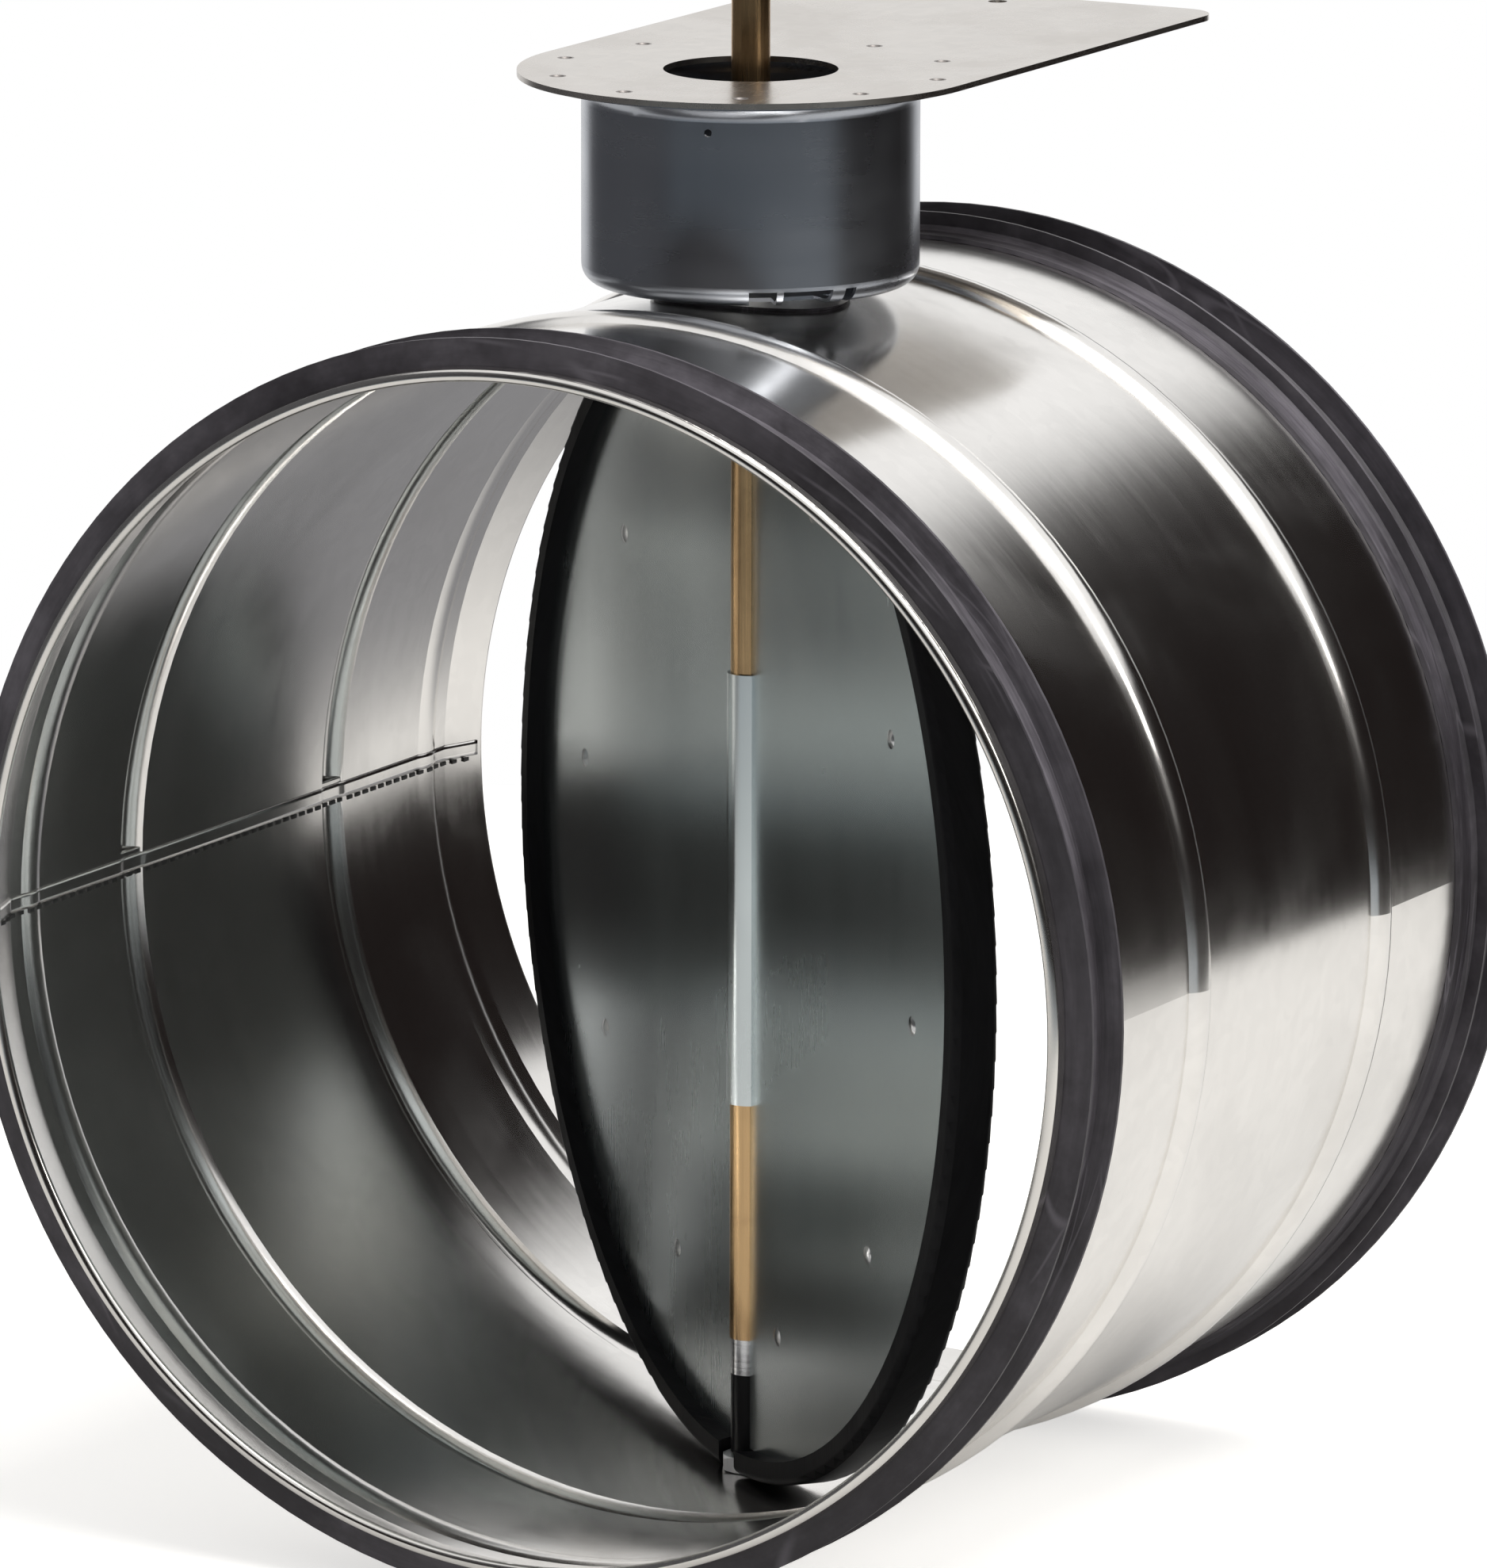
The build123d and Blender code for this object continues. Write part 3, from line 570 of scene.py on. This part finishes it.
class DamperShaftSettings(bpy.types.PropertyGroup):
    """Colours of the shaft and its small parts"""

    shaft_colour: FloatVectorProperty(
        name="Shaft colour",
        description="Colour of the yellow-passivated shaft",
        subtype="COLOR", size=3, min=0.0, max=1.0, default=(0.62, 0.415, 0.215),
    )
    stain_colour: FloatVectorProperty(
        name="Stain colour",
        description="Darker film on the shaft",
        subtype="COLOR", size=3, min=0.0, max=1.0, default=(0.24, 0.145, 0.075),
    )
    plated_colour: FloatVectorProperty(
        name="Plated colour",
        description="Colour of the zinc-plated small parts",
        subtype="COLOR", size=3, min=0.0, max=1.0, default=(0.72, 0.73, 0.75),
    )
    plastic_colour: FloatVectorProperty(
        name="Plastic colour",
        description="Colour of the nylon bushes",
        subtype="COLOR", size=3, min=0.0, max=1.0, default=(0.006, 0.006, 0.007),
    )


class DamperSeamSettings(bpy.types.PropertyGroup):
    """Sizes of the lock seam inside the duct"""

    width: FloatProperty(
        name="Width",
        description="Width of the flattened fold",
        unit="LENGTH", min=0.001, default=0.0042,
    )
    height: FloatProperty(
        name="Height",
        description="How far the fold stands proud of the wall",
        unit="LENGTH", min=0.00005, default=0.00032,
    )
    marks: IntProperty(
        name="Marks",
        description="Roller marks along the fold",
        min=2, default=58,
    )


class DamperNoseSettings(bpy.types.PropertyGroup):
    """Sizes of the burnished skin on the rolled rims"""

    depth: FloatProperty(
        name="Depth",
        description="How deep the rolled nose reaches behind its front",
        unit="LENGTH", min=0.0005, default=0.0016,
    )
    skin: FloatProperty(
        name="Skin",
        description="How far the burnished skin stands proud of the nose",
        unit="LENGTH", min=0.00001, default=0.00005,
    )
    steps: IntProperty(
        name="Steps",
        description="Steps round the rim",
        min=64, default=360,
    )


class DamperStudioSettings(bpy.types.PropertyGroup):
    """Floor, lights and camera"""

    floor_colour: FloatVectorProperty(
        name="Floor colour",
        description="Colour of the plain floor",
        subtype="COLOR", size=3, min=0.0, max=1.0, default=(0.85, 0.845, 0.835),
    )
    floor_radius: FloatProperty(
        name="Floor radius",
        description="Radius of the plain floor",
        unit="LENGTH", min=0.3, default=0.92,
    )
    key_power: FloatProperty(
        name="Key power",
        description="Power of the main soft light",
        unit="POWER", min=0.0, default=48.0,
    )
    fill_power: FloatProperty(
        name="Fill power",
        description="Power of the side soft light",
        unit="POWER", min=0.0, default=12.0,
    )
    lens: FloatProperty(
        name="Lens",
        description="Focal length of the camera in millimetres",
        min=1.0, default=301.0,
    )


# ---- Operators ----------------------------------------------------------------------------------


class DAMPER_OT_casing(bpy.types.Operator):
    """Finishes the duct casing and lays the lock seam on its inner wall"""

    bl_idname = "damper.casing"
    bl_label = "Duct Casing"

    def execute(self, context):
        sheet = context.scene.damper_sheet
        steel = sheet_steel(
            "Duct Sheet",
            tuple(sheet.duct_colour),
            sheet.duct_roughness,
            grain_scale=(7.0, 260.0, 7.0),
            spangle=0.02,
            smudge=0.14,
            lines=0.03,
            scratch=0.08,
            relief=0.02,
        )
        dress(["duct_casing"], steel)
        wall = casing_wall()
        reach = DUCT_HALF - SEAM_END
        self.fold(wall, reach, context.scene.damper_seam, steel)
        self.marks(wall, reach, context.scene.damper_seam)
        return {"FINISHED"}

    def fold(self, wall, reach, seam, steel):
        """A line along the wall, turned to one edge of the fold and spun to the other."""
        bm = bmesh.new()
        last = None
        for index in range(SEAM_STEPS + 1):
            y = -reach + 2 * reach * index / SEAM_STEPS
            point = bm.verts.new((wall_x(wall, y) + FOLD_LIFT, y, 0.0))
            if last is not None:
                bm.edges.new((last, point))
            last = point
        half_turn = seam.width / (2 * abs(CASING_LOW.x))
        line = list(bm.edges)
        start = Matrix.Rotation(-half_turn, 3, "Y")
        bmesh.ops.rotate(bm, verts=bm.verts, cent=(0, 0, 0), matrix=start)
        bmesh.ops.spin(
            bm,
            geom=line,
            cent=(0, 0, 0),
            axis=(0, 1, 0),
            angle=2 * half_turn,
            steps=FOLD_STEPS,
            use_duplicate=False,
        )
        bmesh.ops.recalc_face_normals(bm, faces=bm.faces)
        if bm.faces[0].normal.x < 0:
            bmesh.ops.reverse_faces(bm, faces=bm.faces)
        piece = finished("lock_seam_fold", bm, steel, "casing")
        thickness = piece.modifiers.new("Thickness", "SOLIDIFY")
        thickness.thickness = seam.height
        thickness.offset = 1.0

    def marks(self, wall, reach, seam):
        """The roller's marks below the fold, painted near-black as the shade in their dents."""
        bm = bmesh.new()
        for index in range(seam.marks):
            y = -reach + MARK_END + (2 * reach - 2 * MARK_END) * index / (seam.marks - 1)
            place_at = (wall_x(wall, y) + MARK_LIFT, y, -seam.width * 0.5 - MARK_DROP)
            made = bmesh.ops.create_cube(bm, size=1.0)["verts"]
            bmesh.ops.scale(bm, verts=made, vec=MARK_SIZE)
            bmesh.ops.translate(bm, verts=made, vec=place_at)
        bmesh.ops.bevel(
            bm,
            geom=list(bm.edges),
            offset=MARK_BEVEL,
            offset_type="OFFSET",
            segments=2,
            profile=0.5,
            affect="EDGES",
            material=-1,
        )
        # Near-black marks: painted shade of the pressed dents
        dark = sheet_steel("Seam Marks", (0.10, 0.10, 0.10), 0.5, POINT_GRAIN)
        finished("lock_seam_marks", bm, dark, "casing")


class DAMPER_OT_rim_noses(bpy.types.Operator):
    """Lays the burnished skin that the roller leaves on the nose of each rim"""

    bl_idname = "damper.rim_noses"
    bl_label = "Rim Noses"

    def execute(self, context):
        nose = context.scene.damper_nose
        bright = sheet_steel(
            "Burnished Rim",
            (0.72, 0.70, 0.67),
            0.17,
            grain_scale=(40.0, 300.0, 40.0),
            spangle=0.0,
            smudge=0.15,
            lines=0.03,
            scratch=0.05,
            relief=0.01,
        )
        behind = DUCT_HALF - nose.depth
        vertices = NODES["duct_casing"].data.vertices
        points = [vertex.co for vertex in vertices if abs(vertex.co.y) > behind - NOSE_SLACK]
        if not points:
            raise RuntimeError("the casing has no rolled nose")
        reach = [math.hypot(point.x, point.z) for point in points]
        middle = 0.5 * (min(reach) + max(reach))
        # Out round the nose, with both ends sunk in the steel, and back inside the sheet
        turns = [
            -NOSE_TURN + 2 * NOSE_TURN * index / NOSE_POINTS for index in range(NOSE_POINTS + 1)
        ]
        sunk = turns[:2] + turns[-2:]
        outline = []
        for turn in turns:
            lift = -NOSE_SUNK * nose.skin if turn in sunk else nose.skin
            outline.append((turn, nose.depth + lift))
        for turn in reversed(turns):
            outline.append((turn, nose.depth - NOSE_BACK * nose.skin))
        for name, side in (("inlet_rim_nose", -1), ("outlet_rim_nose", 1)):
            bm = bmesh.new()
            ring = []
            for turn, radius in outline:
                x = middle + radius * math.sin(math.radians(turn))
                y = side * (behind + radius * math.cos(math.radians(turn)))
                ring.append(bm.verts.new((x, y, 0.0)))
            for index, vert in enumerate(ring):
                bm.edges.new((vert, ring[(index + 1) % len(ring)]))
            bmesh.ops.spin(
                bm,
                geom=list(bm.edges),
                cent=(0, 0, 0),
                axis=(0, 1, 0),
                angle=math.tau,
                steps=nose.steps,
                use_duplicate=False,
                use_merge=True,
            )
            bmesh.ops.remove_doubles(bm, verts=bm.verts, dist=NOSE_WELD)
            bmesh.ops.recalc_face_normals(bm, faces=bm.faces)
            finished(name, bm, bright, "casing")
        return {"FINISHED"}


class DAMPER_OT_gaskets(bpy.types.Operator):
    """Finishes the two spigot gaskets"""

    bl_idname = "damper.gaskets"
    bl_label = "Spigot Gaskets"

    def execute(self, context):
        seal = context.scene.damper_seal
        black = rubber(
            "Gasket Rubber",
            tuple(seal.gasket_colour),
            tuple(seal.dust_colour),
            dust=1.5,
            roughness=0.46,
            streak_scale=(5.0, 300.0, 5.0),
        )
        dress(["inlet_gasket", "outlet_gasket", "saddle_gasket"], black)
        dress(["pivot_washer", "shaft_seal_ring"], black)
        return {"FINISHED"}


class DAMPER_OT_blade(bpy.types.Operator):
    """Finishes the two blade discs and their clinch points"""

    bl_idname = "damper.blade"
    bl_label = "Blade"

    def execute(self, context):
        sheet = context.scene.damper_sheet
        steel = sheet_steel(
            "Blade Sheet",
            tuple(sheet.blade_colour),
            sheet.blade_roughness,
            grain_scale=(90.0, 90.0, 4.0),
            spangle=0.006,
            smudge=0.08,
            lines=0.01,
            scratch=0.012,
            relief=0.006,
            mark_size=7.0,
        )
        dress(["blade_front_disc", "blade_rear_disc"], steel)
        bright = sheet_steel("Pressed Points", (0.62, 0.63, 0.64), 0.2, POINT_GRAIN, spangle=0.02)
        dress(["blade_clinches"], bright)
        return {"FINISHED"}


class DAMPER_OT_blade_seal(bpy.types.Operator):
    """Finishes the rubber ring round the blade"""

    bl_idname = "damper.blade_seal"
    bl_label = "Blade Seal"

    def execute(self, context):
        seal = context.scene.damper_seal
        black = rubber(
            "Seal Rubber",
            tuple(seal.blade_seal_colour),
            (0.02, 0.02, 0.022),
            dust=0.3,
            roughness=0.5,
            streak_scale=(30.0, 300.0, 30.0),
            specular=0.12,
        )
        dress(["blade_seal"], black)
        return {"FINISHED"}


class DAMPER_OT_shaft(bpy.types.Operator):
    """Finishes the shaft and the small plated parts"""

    bl_idname = "damper.shaft"
    bl_label = "Shaft and Fasteners"

    def execute(self, context):
        metal = context.scene.damper_shaft
        passivated = turned_metal(
            "Passivated Rod",
            tuple(metal.shaft_colour),
            tuple(metal.stain_colour),
            roughness=0.24,
            grain_scale=(1500.0, 1500.0, 12.0),
        )
        dress(["shaft"], passivated)
        plated = turned_metal(
            "Zinc Plate",
            tuple(metal.plated_colour),
            (0.35, 0.35, 0.36),
            roughness=0.2,
            grain_scale=(60.0, 60.0, 1400.0),
            smudge=0.2,
        )
        # The pivot nut gets a paler copy of the zinc plate: painted light, so that it reads as lit;
        # its higher roughness is its own
        bright = turned_metal(
            "Bright Nut",
            (0.90, 0.92, 0.96),
            (0.62, 0.64, 0.68),
            roughness=0.42,
            grain_scale=(200.0, 200.0, 60.0),
            smudge=0.15,
        )
        dress(["pivot_nut"], bright)
        dress(["shaft_ferrule", "pivot_pin", "thrust_washer", "shaft_clip"], plated)
        dress(["seal_retainer", "shaft_screws", "saddle_rivets"], plated)
        return {"FINISHED"}


class DAMPER_OT_bearings(bpy.types.Operator):
    """Finishes the bearing saddle and the two plastic bushes"""

    bl_idname = "damper.bearings"
    bl_label = "Bearings"

    def execute(self, context):
        metal = context.scene.damper_shaft
        cast = turned_metal(
            "Cast Zinc",
            (0.5, 0.51, 0.52),
            (0.25, 0.25, 0.26),
            roughness=0.42,
            grain_scale=(120.0, 120.0, 120.0),
            smudge=0.3,
        )
        dress(["bearing_saddle"], cast)
        nylon = moulded_plastic("Black Nylon", tuple(metal.plastic_colour), roughness=0.34)
        dress(["lower_bush", "upper_bush"], nylon)
        return {"FINISHED"}


class DAMPER_OT_collar(bpy.types.Operator):
    """Finishes the stand-off collar"""

    bl_idname = "damper.collar"
    bl_label = "Collar"

    def execute(self, context):
        sheet = context.scene.damper_sheet
        steel = sheet_steel(
            "Drawn Collar",
            tuple(sheet.collar_colour),
            0.26,
            grain_scale=(4.0, 4.0, 90.0),
            spangle=0.004,
            smudge=0.06,
            lines=0.008,
            scratch=0.01,
            relief=0.005,
        )
        dress(["collar"], steel)
        return {"FINISHED"}


class DAMPER_OT_shelf(bpy.types.Operator):
    """Finishes the motor shelf and its clinch points"""

    bl_idname = "damper.shelf"
    bl_label = "Motor Shelf"

    def execute(self, context):
        sheet = context.scene.damper_sheet
        steel = sheet_steel(
            "Shelf Sheet",
            tuple(sheet.shelf_colour),
            0.25,
            grain_scale=(520.0, 9.0, 520.0),
            spangle=0.03,
            smudge=0.08,
            lines=0.03,
            scratch=0.10,
            relief=0.03,
            mark_size=17.0,
        )
        dress(["shelf_plate"], steel)
        # Dark clinch dimples: painted shade in the pressed hollows
        dark = sheet_steel("Pressed Dimples", (0.26, 0.24, 0.23), 0.45, POINT_GRAIN)
        dress(["shelf_clinches"], dark)
        return {"FINISHED"}


class DAMPER_OT_studio(bpy.types.Operator):
    """Lays the plain floor and sets the soft lights and the camera"""

    bl_idname = "damper.studio"
    bl_label = "Studio"

    def execute(self, context):
        studio = context.scene.damper_studio
        scene = context.scene
        self.floor(studio)
        self.cloth("dark_cloth", -1.0, 216.0, 1.62, (0.0105, 0.0080, 0.0076))
        self.cloth("grey_cloth", -168.0, -58.0, 3.0, (0.10, 0.10, 0.105), nearer=1.02)
        self.cloth("low_cloth", 84.0, 216.0, -0.10, (0.33, 0.37, 0.40), nearer=0.98)
        # Painted shadow: a grey card on the floor behind the object, seen only in reflections
        self.mat("grey_mat", middle=(-0.22, 0.50), radius=0.46, tone=(0.26, 0.26, 0.27))
        self.world(scene)
        self.soft_light("Key Light", (1.0, -0.1, 2.6), size=(1.8, 1.8), power=studio.key_power)
        self.soft_light("Side Light", (2.2, -0.4, 1.3), size=(0.5, 1.2), power=studio.fill_power)
        camera = bpy.data.objects.new("Camera", bpy.data.cameras.new("Camera"))
        scene.collection.objects.link(camera)
        camera.data.lens = studio.lens
        camera.data.sensor_width = 36.0
        camera.data.clip_end = 30.0
        back = Vector(CAMERA_BACK).normalized()
        up = Vector(CAMERA_UP)
        right = up.cross(back).normalized()
        up = back.cross(right)
        turn = Matrix((right, up, back)).transposed()
        camera.matrix_world = Matrix.Translation(CAMERA_PLACE) @ turn.to_4x4()
        scene.camera = camera
        scene.view_settings.view_transform = "Standard"
        return {"FINISHED"}

    def floor(self, studio):
        """A round pale floor under the object."""
        bm = bmesh.new()
        bmesh.ops.create_circle(bm, cap_ends=True, segments=96, radius=studio.floor_radius)
        bmesh.ops.translate(bm, verts=bm.verts, vec=(0, 0, CAD_BOX[0][2] - FLOOR_DROP))
        mesh = bpy.data.meshes.new("floor")
        bm.to_mesh(mesh)
        bm.free()
        floor = bpy.data.objects.new("floor", mesh)
        bpy.context.scene.collection.objects.link(floor)
        material, tree, shader = new_material("Plain Floor")
        shader.inputs["Base Color"].default_value = (*studio.floor_colour, 1.0)
        shader.inputs["Roughness"].default_value = 0.9
        shader.inputs["Specular IOR Level"].default_value = 0.0
        glow = place(tree, "ShaderNodeEmission", {"Color": (1.0, 0.99, 0.975, 1.0)})
        total = place(tree, "ShaderNodeAddShader")
        choice = place(tree, "ShaderNodeMixShader")
        # Clear from beneath, so that the underside can be looked at
        beneath = place(tree, "ShaderNodeMixShader")
        path = place(tree, "ShaderNodeLightPath")
        seen = path.outputs["Is Camera Ray"]
        strength = mapped(tree, seen, 0.0, 1.0, FLOOR_REFLECTED, FLOOR_SEEN, smooth=False)
        join(
            tree,
            (strength, glow.inputs["Strength"]),
            (seen_directly(tree), choice.inputs[0]),
            (shader.outputs[0], choice.inputs[1]),
            (shader.outputs[0], total.inputs[0]),
            (glow.outputs[0], total.inputs[1]),
            (total.outputs[0], choice.inputs[2]),
            (place(tree, "ShaderNodeNewGeometry").outputs["Backfacing"], beneath.inputs[0]),
            (choice.outputs[0], beneath.inputs[1]),
            (place(tree, "ShaderNodeBsdfTransparent").outputs[0], beneath.inputs[2]),
            (beneath.outputs[0], tree.nodes["Material Output"].inputs["Surface"]),
        )
        mesh.materials.append(material)

    def cloth(self, name, start, end, top, tone, nearer=1.0):
        """An upright cloth between two azimuths, from +Y towards +X, that only reflections show."""
        bm = bmesh.new()
        begin = math.radians(start)
        x, y = CLOTH_R * nearer * math.sin(begin), CLOTH_R * nearer * math.cos(begin)
        foot, head = (bm.verts.new((x, y, z)) for z in (CLOTH_FOOT, top))
        edge = bm.edges.new((foot, head))
        bmesh.ops.spin(
            bm,
            geom=[edge],
            cent=(0, 0, 0),
            axis=(0, 0, 1),
            angle=math.radians(start - end),
            steps=CLOTH_STEPS,
            use_duplicate=False,
        )
        self.shade(name, bm, tone, lambda tree: self.cloth_mask(tree, start, end, top))

    def cloth_mask(self, tree, start, end, top):
        """1 on the cloth, falling to 0 at its head and at both ends."""
        # Turned so that the azimuth is nought in the middle of the cloth
        half = math.radians(0.5 * (end - start))
        split = place(tree, "ShaderNodeSeparateXYZ")
        coordinates = place(tree, "ShaderNodeTexCoord")
        middle = math.radians(0.5 * (start + end))
        turned = place(tree, "ShaderNodeMapping", {"Rotation": (0.0, 0.0, middle)})
        join(
            tree,
            (coordinates.outputs["Object"], turned.inputs["Vector"]),
            (turned.outputs["Vector"], split.inputs["Vector"]),
        )
        azimuth = math_node(tree, "ARCTAN2", split.outputs["X"], split.outputs["Y"])
        aside = math_node(tree, "ABSOLUTE", azimuth)
        return math_node(
            tree,
            "MULTIPLY",
            mapped(tree, split.outputs["Z"], top - CLOTH_FADE, top, 1.0, 0.0),
            mapped(tree, aside, half - math.radians(CLOTH_SIDE_FADE), half, 1.0, 0.0),
        )

    def mat(self, name, middle, radius, tone):
        """A round grey card on the floor behind the object, a painted shadow where the floor lies in
        the object's shade; like the cloths, only reflections show it.
        """
        bm = bmesh.new()
        bmesh.ops.create_circle(bm, cap_ends=True, segments=64, radius=radius)
        bmesh.ops.translate(bm, verts=bm.verts, vec=(*middle, CAD_BOX[0][2] + SHADOW_CARD_LIFT))
        self.shade(name, bm, tone, lambda tree: self.painted_shadow_mask(tree, middle, radius))

    def painted_shadow_mask(self, tree, middle, radius):
        """1 in the middle of the painted shadow card, falling to 0 at its edge."""
        return mapped(tree, self.away_from(tree, middle), radius * 0.4, radius, 1.0, 0.0)

    def away_from(self, tree, middle):
        """Level distance of the shaded point from a place on the floor."""
        coordinates = place(tree, "ShaderNodeTexCoord")
        offset = place(tree, "ShaderNodeVectorMath", operation="SUBTRACT")
        offset.inputs[1].default_value = (*middle, CAD_BOX[0][2])
        length = place(tree, "ShaderNodeVectorMath", operation="LENGTH")
        join(
            tree,
            (coordinates.outputs["Object"], offset.inputs[0]),
            (offset.outputs["Vector"], length.inputs[0]),
        )
        return length.outputs["Value"]

    def shade(self, name, bm, tone, mask_of):
        """Turns a bmesh into a plain card with soft edges that only reflections show."""
        mesh = bpy.data.meshes.new(name)
        bm.to_mesh(mesh)
        bm.free()
        card = bpy.data.objects.new(name, mesh)
        bpy.context.scene.collection.objects.link(card)
        card.visible_camera = False
        card.visible_diffuse = False
        card.visible_shadow = False
        card.visible_transmission = False
        material, tree, shader = new_material(name)
        tree.nodes.remove(shader)
        clear = place(tree, "ShaderNodeBsdfTransparent")
        glow = place(tree, "ShaderNodeEmission", {"Color": (*tone, 1.0), "Strength": 1.0})
        choice = place(tree, "ShaderNodeMixShader")
        join(
            tree,
            (mask_of(tree), choice.inputs[0]),
            (clear.outputs[0], choice.inputs[1]),
            (glow.outputs[0], choice.inputs[2]),
            (choice.outputs[0], tree.nodes["Material Output"].inputs["Surface"]),
        )
        mesh.materials.append(material)

    def world(self, scene):
        """White where it is seen or reflected, a plain soft level as light."""
        world = bpy.data.worlds.new("Plain Studio")
        scene.world = world
        world.use_nodes = True
        tree = world.node_tree
        tree.nodes.clear()
        warm = (1.0, 0.995, 0.985, 1.0)
        light = place(tree, "ShaderNodeBackground", {"Color": warm, "Strength": 0.42})
        white = place(tree, "ShaderNodeBackground", {"Color": (1.0, 1.0, 1.0, 1.0), "Strength": 1.0})
        choice = place(tree, "ShaderNodeMixShader")
        end = place(tree, "ShaderNodeOutputWorld")
        join(
            tree,
            (seen_directly(tree), choice.inputs[0]),
            (light.outputs[0], choice.inputs[1]),
            (white.outputs[0], choice.inputs[2]),
            (choice.outputs[0], end.inputs["Surface"]),
        )

    def soft_light(self, name, place_at, size, power):
        """An area light that looks at the damper's middle."""
        lamp = bpy.data.lights.new(name, "AREA")
        lamp.shape = "RECTANGLE"
        lamp.size, lamp.size_y = size
        lamp.energy = power
        lamp.color = (1.0, 0.985, 0.96)
        holder = bpy.data.objects.new(name, lamp)
        bpy.context.scene.collection.objects.link(holder)
        aim = (Vector(LIGHT_TARGET) - Vector(place_at)).to_track_quat("-Z", "Y")
        holder.matrix_world = Matrix.Translation(place_at) @ aim.to_matrix().to_4x4()


class DAMPER_PT_panel(bpy.types.Panel):
    """Lists the damper's settings and its pieces"""

    bl_label = "Round Duct Damper"
    bl_idname = "DAMPER_PT_panel"
    bl_space_type = "VIEW_3D"
    bl_region_type = "UI"
    bl_category = "Damper"

    def draw(self, context):
        layout = self.layout
        for holder in SETTINGS:
            group = getattr(context.scene, holder)
            box = layout.box()
            for key in group.__annotations__:
                box.prop(group, key)
        for operator in OPERATORS:
            layout.operator(operator.bl_idname)


OPERATORS = (
    DAMPER_OT_casing,
    DAMPER_OT_rim_noses,
    DAMPER_OT_gaskets,
    DAMPER_OT_blade,
    DAMPER_OT_blade_seal,
    DAMPER_OT_shaft,
    DAMPER_OT_bearings,
    DAMPER_OT_collar,
    DAMPER_OT_shelf,
    DAMPER_OT_studio,
)
SETTINGS = {
    "damper_sheet": DamperSheetSettings,
    "damper_seal": DamperSealSettings,
    "damper_shaft": DamperShaftSettings,
    "damper_seam": DamperSeamSettings,
    "damper_nose": DamperNoseSettings,
    "damper_studio": DamperStudioSettings,
}


def register():
    for cls in (*SETTINGS.values(), *OPERATORS, DAMPER_PT_panel):
        bpy.utils.register_class(cls)
    for holder, cls in SETTINGS.items():
        setattr(bpy.types.Scene, holder, PointerProperty(type=cls))


def unregister():
    for holder in SETTINGS:
        delattr(bpy.types.Scene, holder)
    for cls in reversed((*SETTINGS.values(), *OPERATORS, DAMPER_PT_panel)):
        bpy.utils.unregister_class(cls)


def main():
    """Registers the add-on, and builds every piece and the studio."""
    register()
    for operator in OPERATORS:
        family, action = operator.bl_idname.split(".")
        getattr(getattr(bpy.ops, family), action)()


if __name__ == "__main__":
    main()
